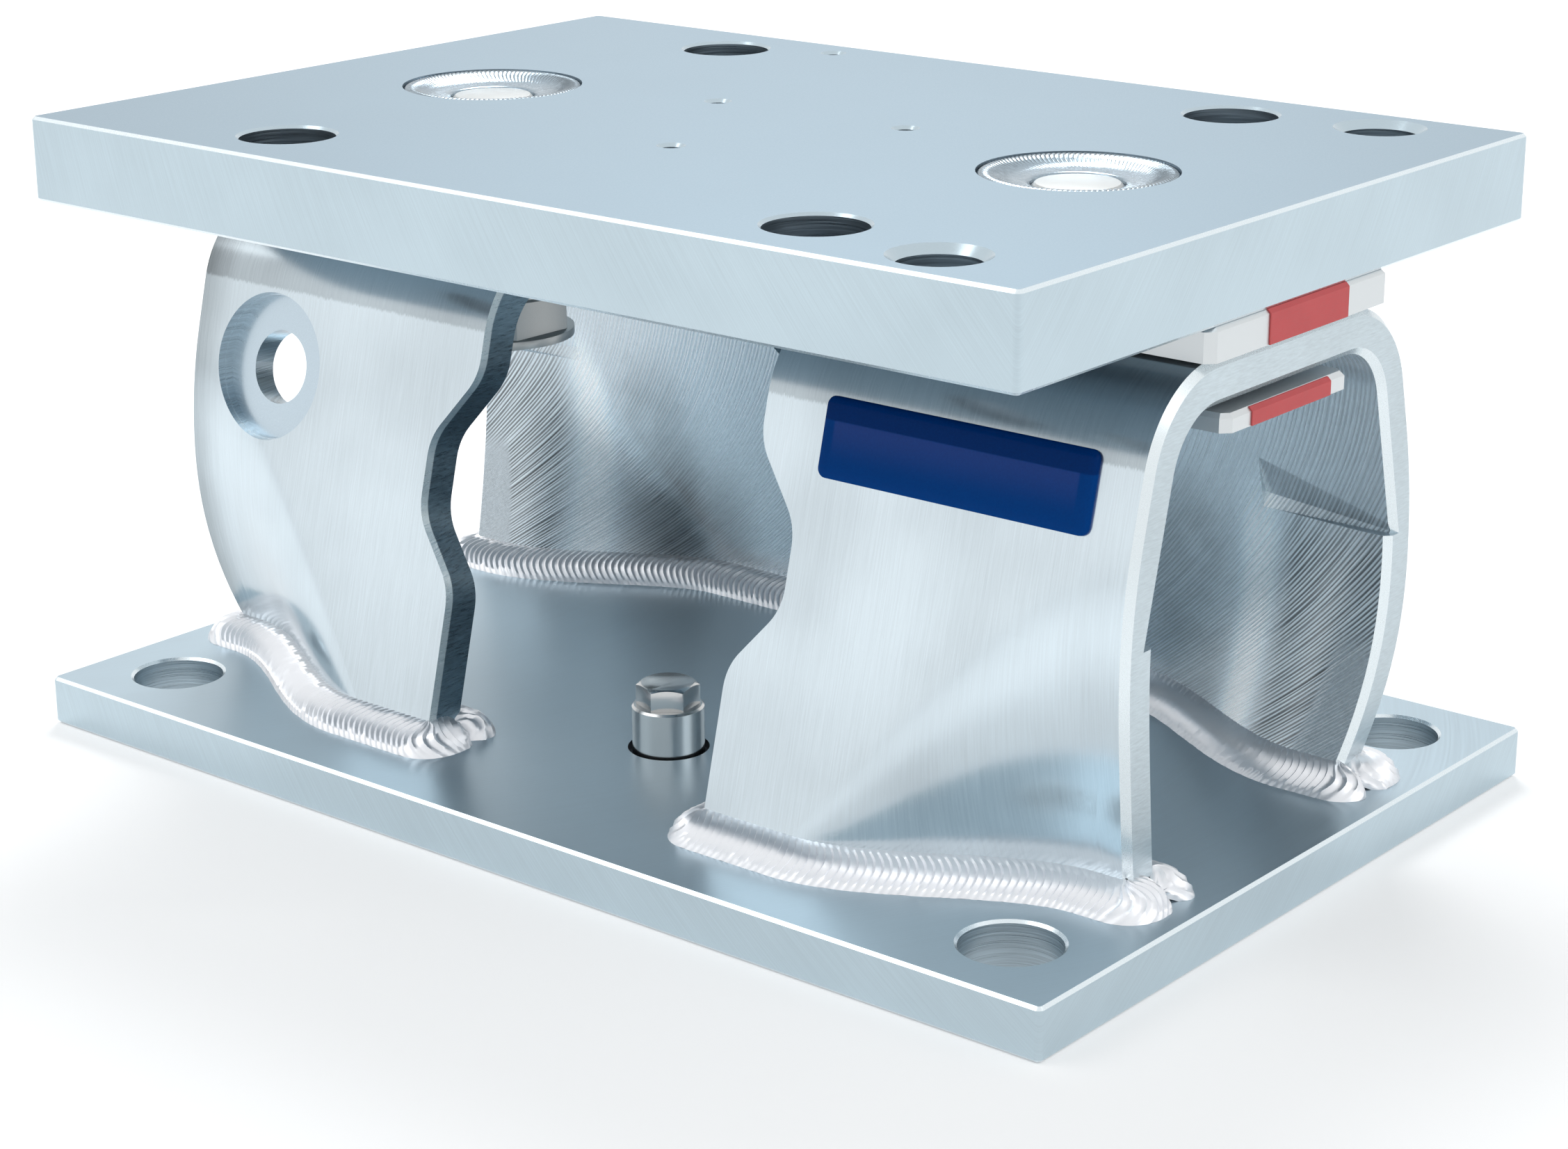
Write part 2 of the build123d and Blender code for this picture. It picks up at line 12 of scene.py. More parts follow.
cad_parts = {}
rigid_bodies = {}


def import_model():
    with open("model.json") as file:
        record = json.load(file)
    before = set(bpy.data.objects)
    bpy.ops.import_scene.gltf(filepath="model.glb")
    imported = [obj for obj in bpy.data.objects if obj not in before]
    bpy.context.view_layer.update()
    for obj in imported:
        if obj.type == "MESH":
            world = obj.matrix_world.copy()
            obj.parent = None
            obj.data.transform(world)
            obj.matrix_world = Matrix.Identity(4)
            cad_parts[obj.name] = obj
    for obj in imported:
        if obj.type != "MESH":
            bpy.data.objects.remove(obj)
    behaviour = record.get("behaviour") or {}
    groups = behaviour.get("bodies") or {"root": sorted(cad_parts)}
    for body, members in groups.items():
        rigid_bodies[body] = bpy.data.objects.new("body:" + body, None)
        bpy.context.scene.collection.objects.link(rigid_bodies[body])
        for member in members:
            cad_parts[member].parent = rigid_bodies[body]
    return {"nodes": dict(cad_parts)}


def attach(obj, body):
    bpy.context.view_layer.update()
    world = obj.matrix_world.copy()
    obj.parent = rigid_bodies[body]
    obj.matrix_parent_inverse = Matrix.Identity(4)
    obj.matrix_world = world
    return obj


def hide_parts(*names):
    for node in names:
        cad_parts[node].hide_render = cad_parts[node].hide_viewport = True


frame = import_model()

LOG = logging.getLogger("weighing_module")
MM = 0.001
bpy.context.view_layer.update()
BASE_TOP = 12.0
TOP_THICKNESS = 20.0
MODULE_HEIGHT = 153.0
FOOT_REACH = 74.5
LEG_LEAN = 14.3
LEG_SLOPE = math.tan(math.radians(LEG_LEAN))
LEG_COSINE = math.cos(math.radians(LEG_LEAN))
LEG_HOLE = (-112.4, 88.8)
PIT_CENTRE = (0.8, -37.5)
PLUG_CENTRE = 87.0
RIPPLE = "ripple"

Colour = tuple[float, float, float]
Point = tuple[float, float, float]


class Signal:
    """A value in a finish's node tree; Python operators on it add the maths nodes."""

    def __init__(self, tree: "FinishTree", socket: bpy.types.NodeSocket) -> None:
        """Keeps the tree and the output socket.

        Args:
            tree: the finish's node tree.
            socket: the output socket that carries the value.
        """
        self.tree = tree
        self.socket = socket

    def maths(self, operation: str, *others: Any) -> "Signal":
        """Adds one Math node fed by this value first.

        Args:
            operation: the Math node's operation.
            others: the further values or numbers.

        Returns:
            The node's result.
        """
        inputs = dict(enumerate((self, *others)))
        return self.tree.add("ShaderNodeMath", {"operation": operation}, inputs)

    def __add__(self, other: Any) -> "Signal":
        """Returns the sum."""
        return self.maths("ADD", other)

    __radd__ = __add__

    def __mul__(self, other: Any) -> "Signal":
        """Returns the product."""
        return self.maths("MULTIPLY", other)

    __rmul__ = __mul__

    def __sub__(self, other: Any) -> "Signal":
        """Returns the difference."""
        return self.maths("SUBTRACT", other)

    def __rsub__(self, other: Any) -> "Signal":
        """Returns the difference from a number."""
        return (self * -1.0) + other

    def __pow__(self, other: Any) -> "Signal":
        """Returns the power."""
        return self.maths("POWER", other)

    def __gt__(self, other: Any) -> "Signal":
        """Returns 1 where this value is the larger, otherwise 0."""
        return self.maths("GREATER_THAN", other)

    def __lt__(self, other: Any) -> "Signal":
        """Returns 1 where this value is the smaller, otherwise 0."""
        return self.maths("LESS_THAN", other)

    def __abs__(self) -> "Signal":
        """Returns the size without the sign."""
        return self.maths("ABSOLUTE")

    def root(self) -> "Signal":
        """Returns the square root."""
        return self.maths("SQRT")

    def ramp(self, low: float, high: float, to_low: float = 0.0, to_high: float = 1.0) -> "Signal":
        """Maps a range of this value smoothly to another and holds it outside.

        Args:
            low: value that becomes to_low.
            high: value that becomes to_high.
            to_low: result at and below low.
            to_high: result at and above high.

        Returns:
            The mapped value.
        """
        settings = {"interpolation_type": "SMOOTHSTEP", "clamp": True}
        values = {"Value": self, 1: low, 2: high, 3: to_low, 4: to_high}
        return self.tree.add("ShaderNodeMapRange", settings, values)


class FinishTree:
    """The node tree of one finish, with its Principled shader."""

    def __init__(self, name: str) -> None:
        """Makes the material and clears its tree.

        Args:
            name: the material's name.
        """
        self.material = bpy.data.materials.new(name)
        self.material.use_nodes = True
        self.tree = self.material.node_tree
        self.tree.nodes.clear()
        self.shader = self.tree.nodes.new("ShaderNodeBsdfPrincipled")
        self.end = self.tree.nodes.new("ShaderNodeOutputMaterial")
        self.tree.links.new(self.shader.outputs[0], self.end.inputs["Surface"])

    def plug(self, socket: bpy.types.NodeSocket, value: Any) -> None:
        """Links a Signal to a socket, or sets a number or colour on it.

        Args:
            socket: the input socket.
            value: a Signal, a number or a sequence of numbers.
        """
        if isinstance(value, Signal):
            self.tree.links.new(value.socket, socket)
        elif isinstance(value, (tuple, list)) and len(socket.default_value) == 4 and len(value) == 3:
            socket.default_value = (*value, 1.0)
        else:
            socket.default_value = value

    def add(self, kind: str, settings: dict[str, Any], inputs: dict[Any, Any],
            output: Any = 0) -> Signal:
        """Adds one node of any type.

        Args:
            kind: the node's type.
            settings: its properties.
            inputs: values or Signals by socket name or number.
            output: name or number of the wanted output.

        Returns:
            That output.
        """
        node = self.tree.nodes.new(kind)
        for key, value in settings.items():
            setattr(node, key, value)
        for key, value in inputs.items():
            self.plug(node.inputs[key], value)
        return Signal(self, node.outputs[output])

    def place(self) -> tuple[Signal, Signal, Signal]:
        """Returns the Object coordinates in millimetres."""
        coordinates = self.add("ShaderNodeTexCoord", {}, {}, "Object")
        parts = self.add("ShaderNodeSeparateXYZ", {}, {0: coordinates})
        outputs = parts.socket.node.outputs
        return tuple(Signal(self, outputs[axis]) * (1 / MM) for axis in range(3))

    def vector(self, x: Any, y: Any, z: Any) -> Signal:
        """Returns three values as one vector."""
        return self.add("ShaderNodeCombineXYZ", {}, {0: x, 1: y, 2: z})

    def noise(self, at: Signal, scale: float, detail: float = 3.0, roughness: float = 0.55) -> Signal:
        """Returns smooth noise from 0 to 1.

        Args:
            at: the vector where it is read.
            scale: cycles per unit.
            detail: number of finer layers.
            roughness: strength of the finer layers.

        Returns:
            The noise.
        """
        values = {"Vector": at, "Scale": scale, "Detail": detail, "Roughness": roughness}
        return self.add("ShaderNodeTexNoise", {}, values, "Fac")

    def blend(self, share: Any, first: Any, second: Any) -> Signal:
        """Returns a mix of two colours by a share from 0 to 1."""
        return self.add("ShaderNodeMix", {"data_type": "RGBA"}, {0: share, 6: first, 7: second}, 2)

    def tint(self, colour: Any, strength: Signal) -> Signal:
        """Returns a colour made lighter or darker by a factor."""
        settings = {"data_type": "RGBA", "blend_type": "MULTIPLY"}
        factors = self.vector(strength, strength, strength)
        return self.add("ShaderNodeMix", settings, {0: 1.0, 6: colour, 7: factors}, 2)

    def bump(self, height: Signal, depth: float) -> None:
        """Feeds a height in millimetres to the shader's normal.

        Args:
            height: the height pattern.
            depth: millimetres that a height of 1 stands proud.
        """
        values = {"Strength": 1.0, "Distance": depth * MM, "Height": height}
        self.plug(self.shader.inputs["Normal"], self.add("ShaderNodeBump", {}, values))

    def diffuse(self) -> Signal:
        """Returns the Principled shader's own output."""
        return Signal(self, self.shader.outputs[0])

    def finish_with(self, shader: Signal) -> None:
        """Sends another shader to the material's output."""
        self.plug(self.end.inputs["Surface"], shader)

    def surface(self, **values: Any) -> None:
        """Sets or links the Principled shader's sockets, named with underscores for spaces."""
        for name, value in values.items():
            self.plug(self.shader.inputs[name.replace("_", " ")], value)


class Grain(Enum):
    """Ways in which a steel surface was worked."""

    ROLLED = "rolled and etched"
    MILLED = "milled in long arcs across the plate"
    ARCS = "ground in steep, slightly bent lines"
    UPRIGHT = "brushed up and down"
    SCORED = "coarse curved forming grooves"
    SAWN = "fine cross striations of a cut face"
    CAST = "fine cast grain"
    TURNED = "rings of a drilled or turned wall"


# Cycles per millimetre in x, y and z, then the noise's scale, detail and roughness
STRAIGHT_GRAINS = {
    Grain.ROLLED: ((1.0, 1.0, 1.0), 2.6, 4.0, 0.6),
    Grain.CAST: ((1.0, 1.0, 1.0), 1.3, 5.0, 0.7),
    Grain.UPRIGHT: ((3.0, 0.06, 0.06), 1.0, 4.0, 0.7),
    Grain.SAWN: ((0.3, 0.3, 2.4), 1.0, 3.0, 0.65),
    Grain.TURNED: ((0.05, 0.05, 3.5), 1.0, 2.0, 0.5),
}


@dataclass(frozen=True)
class Finish:
    """One procedural finish."""

    name: str
    slot: str

    def material(self) -> bpy.types.Material:
        """Returns the material, made on first use."""
        made = bpy.data.materials.get(self.name)
        if made:
            return made
        tree = FinishTree(self.name)
        self.paint(tree)
        return tree.material

    def paint(self, tree: FinishTree) -> None:
        """Fills the node tree; each finish has its own way.

        Args:
            tree: the new node tree.
        """
        raise NotImplementedError


@dataclass(frozen=True)
class Steel(Finish):
    """A steel surface with its colour, gloss and the marks of how it was worked."""

    colour: Colour = (0.6, 0.6, 0.6)
    grain: Grain = Grain.ROLLED
    depth: float = 0.01
    metallic: float = 0.8
    roughness: float = 0.38
    contrast: float = 0.12

    def pattern(self, tree: FinishTree) -> Signal:
        """Returns the height pattern of the grain, from 0 to 1.

        Args:
            tree: the node tree.

        Returns:
            The pattern.
        """
        x, y, z = tree.place()
        if self.grain is Grain.ARCS:
            along = x - y
            across = along + z * 0.55 + along * z * 0.004
            return tree.noise(tree.vector(across * 1.5, z * 0.03, 0.0), 1.0, 4.0, 0.7)
        if self.grain is Grain.MILLED:
            across = x + y * y * 0.0033
            return tree.noise(tree.vector(across * 2.2, y * 0.02, z * 0.1), 1.0, 4.0, 0.65)
        if self.grain is Grain.SCORED:
            across = x - z * 1.61 + z * z * 0.0068
            wander = tree.noise(tree.vector(across * 0.5, z * 0.02, y * 0.02), 1.0, 3.0, 0.6)
            comb = (across * 5.2 + wander * 9.0).maths("SINE") * 0.5 + 0.5
            return comb * 0.5 + wander * 0.5
        stretch, scale, detail, roughness = STRAIGHT_GRAINS[self.grain]
        at = tree.vector(x * stretch[0], y * stretch[1], z * stretch[2])
        return tree.noise(at, scale, detail, roughness)

    def tone(self, tree: FinishTree, marks: Signal) -> Signal:
        """Returns how much lighter or darker the colour is at each place.

        Args:
            tree: the node tree.
            marks: the height pattern of the grain.

        Returns:
            The factor on the colour.
        """
        x, y, z = tree.place()
        clouds = tree.noise(tree.vector(x, y, z), 0.03, 3.0, 0.5)
        return 1.0 + (marks - 0.5) * self.contrast + (clouds - 0.5) * (self.contrast * 0.6)

    def paint(self, tree: FinishTree) -> None:
        """Paints the steel: clouded colour, worked grain in colour, gloss and height.

        Args:
            tree: the new node tree.
        """
        marks = self.pattern(tree)
        colour = tree.tint(self.colour, self.tone(tree, marks))
        gloss = self.roughness + (marks - 0.5) * 0.2
        tree.surface(Base_Color=colour, Roughness=gloss, Metallic=self.metallic)
        tree.bump(marks, self.depth)


@dataclass(frozen=True)
class GroovedSteel(Steel):
    """The hoops' inner faces: forming grooves, with a painted highlight along the fold and painted
    shade on both sides of it.
    """

    fold: float = 104.0
    fold_slant: float = 0.06
    # Strengths of the painted highlight along the fold, the painted shade past it and the painted
    # shadow low in the left hoop; where that shadow centres along the hoop.
    painted_highlight_gain: float = 0.42
    painted_far_shade_loss: float = 0.30
    painted_shadow_patch_loss: float = 0.4
    painted_shadow_patch_middle: float = 72.0

    def tone(self, tree: FinishTree, marks: Signal) -> Signal:
        """Returns the shade: a painted highlight down the fold, painted shade beside it and a painted
        shadow low in the left hoop, deeper grooves outwards.

        Args:
            tree: the node tree.
            marks: the groove pattern.

        Returns:
            The factor on the colour.
        """
        x, y, z = tree.place()
        along = abs(x)
        lower = z.ramp(84.0, 60.0)
        past = along - (self.fold + (z - 40.0) * self.fold_slant)
        # Painted highlight down the fold; painted shade before it in soft patches (near) and past it
        # (far), where the grooves also show stronger.
        painted_highlight = past.ramp(-9.0, -1.0) * past.ramp(7.0, 0.0) * lower
        near = along.ramp(60.0, 80.0) * past.ramp(-2.0, -14.0) * lower
        far = past.ramp(4.0, 11.0) * lower
        patches = tree.noise(tree.vector(along, y, z), 0.045, 2.0, 0.5).ramp(0.35, 0.65)
        deepening = self.contrast * 0.6 + far * 1.5 + painted_highlight * 0.5 + near * 0.2
        # Painted shadow: a dark patch low in the middle of the left hoop's inner face.
        off_middle = abs(along - self.painted_shadow_patch_middle).ramp(8.0, 26.0)
        painted_shadow_patch = z.ramp(58.0, 30.0) * (1.0 - off_middle) * (x < 0.0)
        shade = 1.0 + painted_highlight * self.painted_highlight_gain - near * (0.08 + patches * 0.22)
        shade = shade - far * self.painted_far_shade_loss - painted_shadow_patch * self.painted_shadow_patch_loss
        lined = shade + (marks - 0.5) * deepening
        grain = tree.noise(tree.vector(x, y, z), 1.4, 3.0, 0.6)
        granular = (along - z * 0.25).ramp(118.0, 120.0) * z.ramp(48.0, 40.0)
        return lined * (1.0 - granular) + granular * (0.5 + grain * 0.5)


@dataclass(frozen=True)
class BrushedSteel(Steel):
    """The hoops' outer faces: brushed, with a painted dark reflection over the bend and painted shade
    at the far left and near the feet.
    """

    # Height of the painted reflection's lower edge, then how much the painted reflection, the painted
    # shade near the feet and at the far left, and the clouds darken.
    painted_reflection_edge: float = 107.2
    painted_bend_reflection_loss: float = 0.26
    painted_foot_shade_loss: float = 0.14
    painted_side_shade_loss: float = 0.34
    cloud_loss: float = 0.16

    def tone(self, tree: FinishTree, marks: Signal) -> Signal:
        """Returns the shade: a painted dark reflection over the bend with a slightly ragged lower edge,
        painted shade at the far left and near the feet, and soft random clouds.

        Args:
            tree: the node tree.
            marks: the brushed pattern.

        Returns:
            The factor on the colour.
        """
        x, y, z = tree.place()
        ragged = z + (marks - 0.5) * 3.0
        # Painted dark reflection over the bend, then painted shade near the feet and at the far left.
        bend = ragged.ramp(self.painted_reflection_edge - 0.3, self.painted_reflection_edge + 0.5)
        clouds = tree.noise(tree.vector(x, y, z), 0.022, 2.0, 0.5).ramp(0.3, 0.7)
        edges = z.ramp(62.0, 22.0) * self.painted_foot_shade_loss + x.ramp(-126.0, -141.0) * self.painted_side_shade_loss
        soft = bend * self.painted_bend_reflection_loss + edges + (1.0 - clouds) * self.cloud_loss
        return 1.0 - soft + (marks - 0.5) * self.contrast


@dataclass(frozen=True)
class CutSteel(Steel):
    """The hoops' cut ends towards the bay: coloured dark as painted dark reflection, with a light
    painted highlight strip along the outer face.
    """

    # Colour and width of the painted highlight strip along the outer face.
    painted_highlight_strip: Colour = (0.68, 0.77, 0.80)
    painted_highlight_strip_width: float = 2.3
    bend_start: float = 106.8
    bend_centre: tuple[float, float] = (26.2, 100.5)
    bend_radius: float = 25.0

    def paint(self, tree: FinishTree) -> None:
        """Paints the dark face, a painted dark reflection, and its light painted highlight strip.

        Args:
            tree: the new node tree.
        """
        _, y, z = tree.place()
        marks = self.pattern(tree)
        leg = (FOOT_REACH - (z - BASE_TOP) * LEG_SLOPE - abs(y)) * LEG_COSINE
        turn = ((abs(y) - self.bend_centre[0]) ** 2.0 + (z - self.bend_centre[1]) ** 2.0).root()
        above = z > self.bend_start
        depth = leg * (1.0 - above) + (self.bend_radius - turn) * above
        # Painted highlight: a light strip along the outer face, where the small edge would catch the
        # light.
        edge = depth.ramp(self.painted_highlight_strip_width + 0.2, self.painted_highlight_strip_width - 0.2)
        # Painted light: lighter near the foot and over the bend.
        pale = z.ramp(40.0, 22.0) * 0.5 + z.ramp(100.0, 112.0) * 0.7
        shade = 1.0 + pale + (marks - 0.5) * self.contrast
        colour = tree.blend(edge, tree.tint(self.colour, shade), self.painted_highlight_strip)
        gloss = self.roughness + (marks - 0.5) * 0.3
        tree.surface(Base_Color=colour, Roughness=gloss, Metallic=self.metallic)
        tree.bump(marks, self.depth)


@dataclass(frozen=True)
class WeldMetal(Finish):
    """Light, glossy plated weld metal, with painted shade in the valleys between its ripples."""

    colour: Colour = (0.80, 0.85, 0.89)
    relief: float = 0.05
    valley_shade: float = 0.75

    def paint(self, tree: FinishTree) -> None:
        """Paints the weld metal.

        Args:
            tree: the new node tree.
        """
        x, y, z = tree.place()
        grit = tree.noise(tree.vector(x, y, z), 0.7, 3.0, 0.55)
        ripple = tree.add("ShaderNodeAttribute", {"attribute_name": RIPPLE}, {}, "Fac")
        # Painted shade: darker in the valleys between ripples, more in some places than others.
        valley = 1.0 - ripple.ramp(0.0, 0.55)
        painted_shade_spread = tree.noise(tree.vector(x, y, z), 0.35, 3.0, 0.6).ramp(0.3, 0.5)
        shade = grit.ramp(0.3, 0.7, 0.84, 1.06) - valley * painted_shade_spread * self.valley_shade
        gloss = grit.ramp(0.3, 0.7, 0.27, 0.14)
        tree.surface(Base_Color=tree.tint(self.colour, shade), Roughness=gloss, Metallic=0.97)
        tree.bump(grit, self.relief)


@dataclass(frozen=True)
class Tape(Finish):
    """Matt tape with a faint crosswise weave."""

    colour: Colour = (0.68, 0.125, 0.14)

    def paint(self, tree: FinishTree) -> None:
        """Paints the tape.

        Args:
            tree: the new node tree.
        """
        x, y, z = tree.place()
        weave = tree.noise(tree.vector(x * 0.4, y * 0.4, z * 2.0), 1.5, 3.0, 0.6)
        patches = tree.noise(tree.vector(x, y, z), 0.12, 2.0, 0.5)
        shade = 1.0 + (weave - 0.5) * 0.12 + (patches - 0.5) * 0.15
        gloss = weave.ramp(0.2, 0.8, 0.5, 0.62)
        tree.surface(Base_Color=tree.tint(self.colour, shade), Roughness=gloss)
        tree.bump(weave, 0.03)


@dataclass(frozen=True)
class BadgeEnamel(Finish):
    """Deep blue under a clear domed coat, with painted shade towards the upper edge and a painted
    reflection below it.
    """

    colour: Colour = (0.0, 0.055, 0.26)
    # Painted shade of the upper strip, and the colour of the painted reflection below it.
    upper: Colour = (0.0, 0.032, 0.17)
    painted_reflection_blue: Colour = (0.003, 0.05, 0.27)
    middle: float = 94.0
    window_reach: float = 31.2
    window_top: float = 104.95

    def paint(self, tree: FinishTree) -> None:
        """Paints the badge.

        Args:
            tree: the new node tree.
        """
        x, y, z = tree.place()
        speckle = tree.noise(tree.vector(x, y, z), 2.0, 3.0, 0.5)
        # Painted reflection: a lighter blue patch under the upper edge, where the clear coat is also
        # heavier; above it the blue is painted darker.
        across = abs(x - self.middle).ramp(self.window_reach + 0.4, self.window_reach - 0.4)
        low, high = self.window_top - 0.25, self.window_top + 0.25
        glow = across * z.ramp(high, low) * z.ramp(96.0, 104.5)
        blue = tree.blend(z.ramp(low, high), self.colour, self.upper)
        base = tree.tint(tree.blend(glow, blue, self.painted_reflection_blue), speckle.ramp(0.2, 0.8, 0.94, 1.06))
        tree.surface(Base_Color=base, Roughness=speckle.ramp(0.2, 0.8, 0.3, 0.36), Coat_Roughness=0.04,
                     Coat_Weight=glow * 0.25 + 0.08, Specular_IOR_Level=0.0)


class Bench:
    """Selecting, editing and finishing of meshes with Blender's operators."""

    @staticmethod
    def clear() -> None:
        """Deselects every object."""
        for shown in bpy.context.view_layer.objects.selected[:]:
            shown.select_set(False)

    @staticmethod
    def take(piece: bpy.types.Object) -> None:
        """Makes a piece the only selected and the active object."""
        Bench.clear()
        piece.select_set(True)
        bpy.context.view_layer.objects.active = piece

    @staticmethod
    def primitive(operator: Callable[..., Any], name: str, **settings: Any) -> bpy.types.Object:
        """Adds a primitive with an operator and names it.

        Args:
            operator: the operator that adds the primitive.
            name: the piece's name.
            settings: the operator's sizes and place.

        Returns:
            The new object.
        """
        Bench.clear()
        operator(**settings)
        piece = bpy.context.object
        piece.name = name
        piece.data.name = name
        return piece

    @staticmethod
    def pick(piece: bpy.types.Object, test: Callable[[Any], bool], kind: str = "FACE") -> int:
        """Enters edit mode with the wanted vertices, edges or faces selected.

        Args:
            piece: the mesh object.
            test: says whether a vertex, edge or polygon is wanted.
            kind: VERT, EDGE or FACE.

        Returns:
            The number selected.
        """
        Bench.take(piece)
        bpy.ops.object.mode_set(mode="EDIT")
        bpy.ops.mesh.select_mode(type=kind)
        bpy.ops.mesh.select_all(action="DESELECT")
        bpy.ops.object.mode_set(mode="OBJECT")
        mesh = piece.data
        chosen = {"VERT": mesh.vertices, "EDGE": mesh.edges, "FACE": mesh.polygons}[kind]
        count = 0
        for element in chosen:
            element.select = bool(test(element))
            count += element.select
        bpy.ops.object.mode_set(mode="EDIT")
        return count

    @staticmethod
    def pick_all(piece: bpy.types.Object) -> None:
        """Enters edit mode with all of a piece selected."""
        Bench.take(piece)
        bpy.ops.object.mode_set(mode="EDIT")
        bpy.ops.mesh.select_all(action="SELECT")

    @staticmethod
    def pick_rims(piece: bpy.types.Object) -> None:
        """Enters edit mode with the open edges selected."""
        Bench.pick(piece, lambda edge: False, "EDGE")
        bpy.ops.mesh.select_non_manifold()

    @staticmethod
    def spans(vertices: Any, edge: Any, axis: int) -> bool:
        """Returns whether an edge's ends differ along an axis (0 to 2)."""
        first, second = (vertices[index].co for index in edge.vertices)
        return abs(first[axis] - second[axis]) > 1e-6

    @staticmethod
    def done() -> None:
        """Leaves edit mode."""
        bpy.ops.object.mode_set(mode="OBJECT")

    @staticmethod
    def modifier(piece: bpy.types.Object, kind: str, **settings: Any) -> None:
        """Adds a modifier, sets it and applies it.

        Args:
            piece: the mesh object.
            kind: the modifier's type.
            settings: its properties.
        """
        Bench.take(piece)
        added = piece.modifiers.new(kind.lower(), kind)
        for key, value in settings.items():
            setattr(added, key, value)
        bpy.ops.object.modifier_apply(modifier=added.name)

    @staticmethod
    def tidy(piece: bpy.types.Object, merge: float = 1e-6, outward: bool = True) -> None:
        """Merges doubled vertices and turns all faces outwards.

        Args:
            piece: the mesh object.
            merge: greatest distance of vertices to merge, in metres.
            outward: whether the normals are recalculated too.
        """
        Bench.pick_all(piece)
        bpy.ops.mesh.remove_doubles(threshold=merge)
        if outward:
            bpy.ops.mesh.normals_make_consistent(inside=False)
        Bench.done()

    @staticmethod
    def smooth(piece: bpy.types.Object, degrees: float = 35.0) -> None:
        """Shades a piece smooth up to an angle between faces."""
        Bench.take(piece)
        bpy.ops.object.shade_smooth_by_angle(angle=math.radians(degrees))

    @staticmethod
    def settle(piece: bpy.types.Object, place: Matrix) -> None:
        """Moves a piece's mesh by a matrix and leaves its object at the origin.

        Args:
            piece: the mesh object.
            place: the matrix, in metres.
        """
        Bench.take(piece)
        piece.matrix_world = place @ piece.matrix_world
        bpy.ops.object.transform_apply(location=True, rotation=True, scale=True)

    @staticmethod
    def copy(source: bpy.types.Object, name: str) -> bpy.types.Object:
        """Returns a free copy of an object with its own mesh."""
        Bench.clear()
        twin = bpy.data.objects.new(name, source.data.copy())
        twin.data.name = name
        bpy.context.collection.objects.link(twin)
        return twin

    @staticmethod
    def discard(piece: bpy.types.Object) -> None:
        """Deletes a helper object."""
        Bench.take(piece)
        bpy.ops.object.delete()


FaceTest = Callable[[Vector, Vector], bool]
Coats = tuple[tuple[Finish, FaceTest | None], ...]


def dress(piece: bpy.types.Object, coats: Coats) -> None:
    """Gives a piece its finishes; the first is for all faces that no test claims.

    Args:
        piece: the mesh object.
        coats: each finish with the test of a face's centre in millimetres and its normal.
    """
    piece.data.materials.clear()
    for finish, test in coats:
        piece.data.materials.append(finish.material())
    tests = [test for finish, test in coats]
    for face in piece.data.polygons:
        centre = face.center / MM
        claims = [index for index, test in enumerate(tests) if test and test(centre, face.normal)]
        face.material_index = claims[0] if claims else 0


def report(piece: bpy.types.Object) -> None:
    """Logs a piece's name and face count."""
    LOG.info("%s: %d faces", piece.name, len(piece.data.polygons))


PLATE, HOOP, BOLT = "plate_steel", "hoop_steel", "fastener_steel"
ZINC_FACE = Steel("zinc_face", PLATE, (0.24, 0.335, 0.405), Grain.ROLLED, 0.003, 0.85, 0.36, 0.06)
RIM = Steel("rim", PLATE, (0.50, 0.60, 0.66), Grain.ROLLED, 0.003, 0.9, 0.22, 0.05)
BAY_FLOOR = Steel("bay_floor", PLATE, (0.44, 0.55, 0.62), Grain.MILLED, 0.010, 0.7, 0.33, 0.16)
ZINC_EDGE = Steel("zinc_edge", PLATE, (0.56, 0.67, 0.73), Grain.ARCS, 0.02, 0.8, 0.34, 0.28)
# Painted highlight: the plates' bevels are coloured much lighter than the plate faces, for the light
# line along the edges.
ZINC_BEVEL_HIGHLIGHT = Steel("zinc_bevel_highlight", PLATE, (0.80, 0.88, 0.92), Grain.ROLLED, 0.003, 0.85, 0.25, 0.05)
HOLE_WALL = Steel("hole_wall", PLATE, (0.45, 0.53, 0.58), Grain.TURNED, 0.04, 0.9, 0.3, 1.1)
# Painted shade: a darker copy of the hole wall for the holes of the top plate, for the shade inside
# them.
SHADED_HOLE_WALL = Steel("shaded_hole_wall", PLATE, (0.24, 0.29, 0.33), Grain.TURNED, 0.04, 0.9, 0.3, 1.6)
HOOP_OUTER = BrushedSteel("hoop_outer", HOOP, (0.76, 0.86, 0.92), Grain.UPRIGHT, 0.008, 0.88, 0.2, 0.24)
HOOP_INNER = GroovedSteel("hoop_inner", HOOP, (0.72, 0.81, 0.87), Grain.SCORED, 0.06, 0.55, 0.28, 0.42)
LEDGE_STEP = Steel("ledge_step", HOOP, (0.44, 0.54, 0.61), Grain.CAST, 0.01, 0.7, 0.3, 0.12)
BORE_FLOOR = Steel("bore_floor", HOOP, (0.60, 0.71, 0.79), Grain.ROLLED, 0.004, 0.88, 0.24, 0.1)
HOOP_CUT = Steel("hoop_cut", HOOP, (0.56, 0.64, 0.68), Grain.SAWN, 0.06, 0.85, 0.34, 0.45)
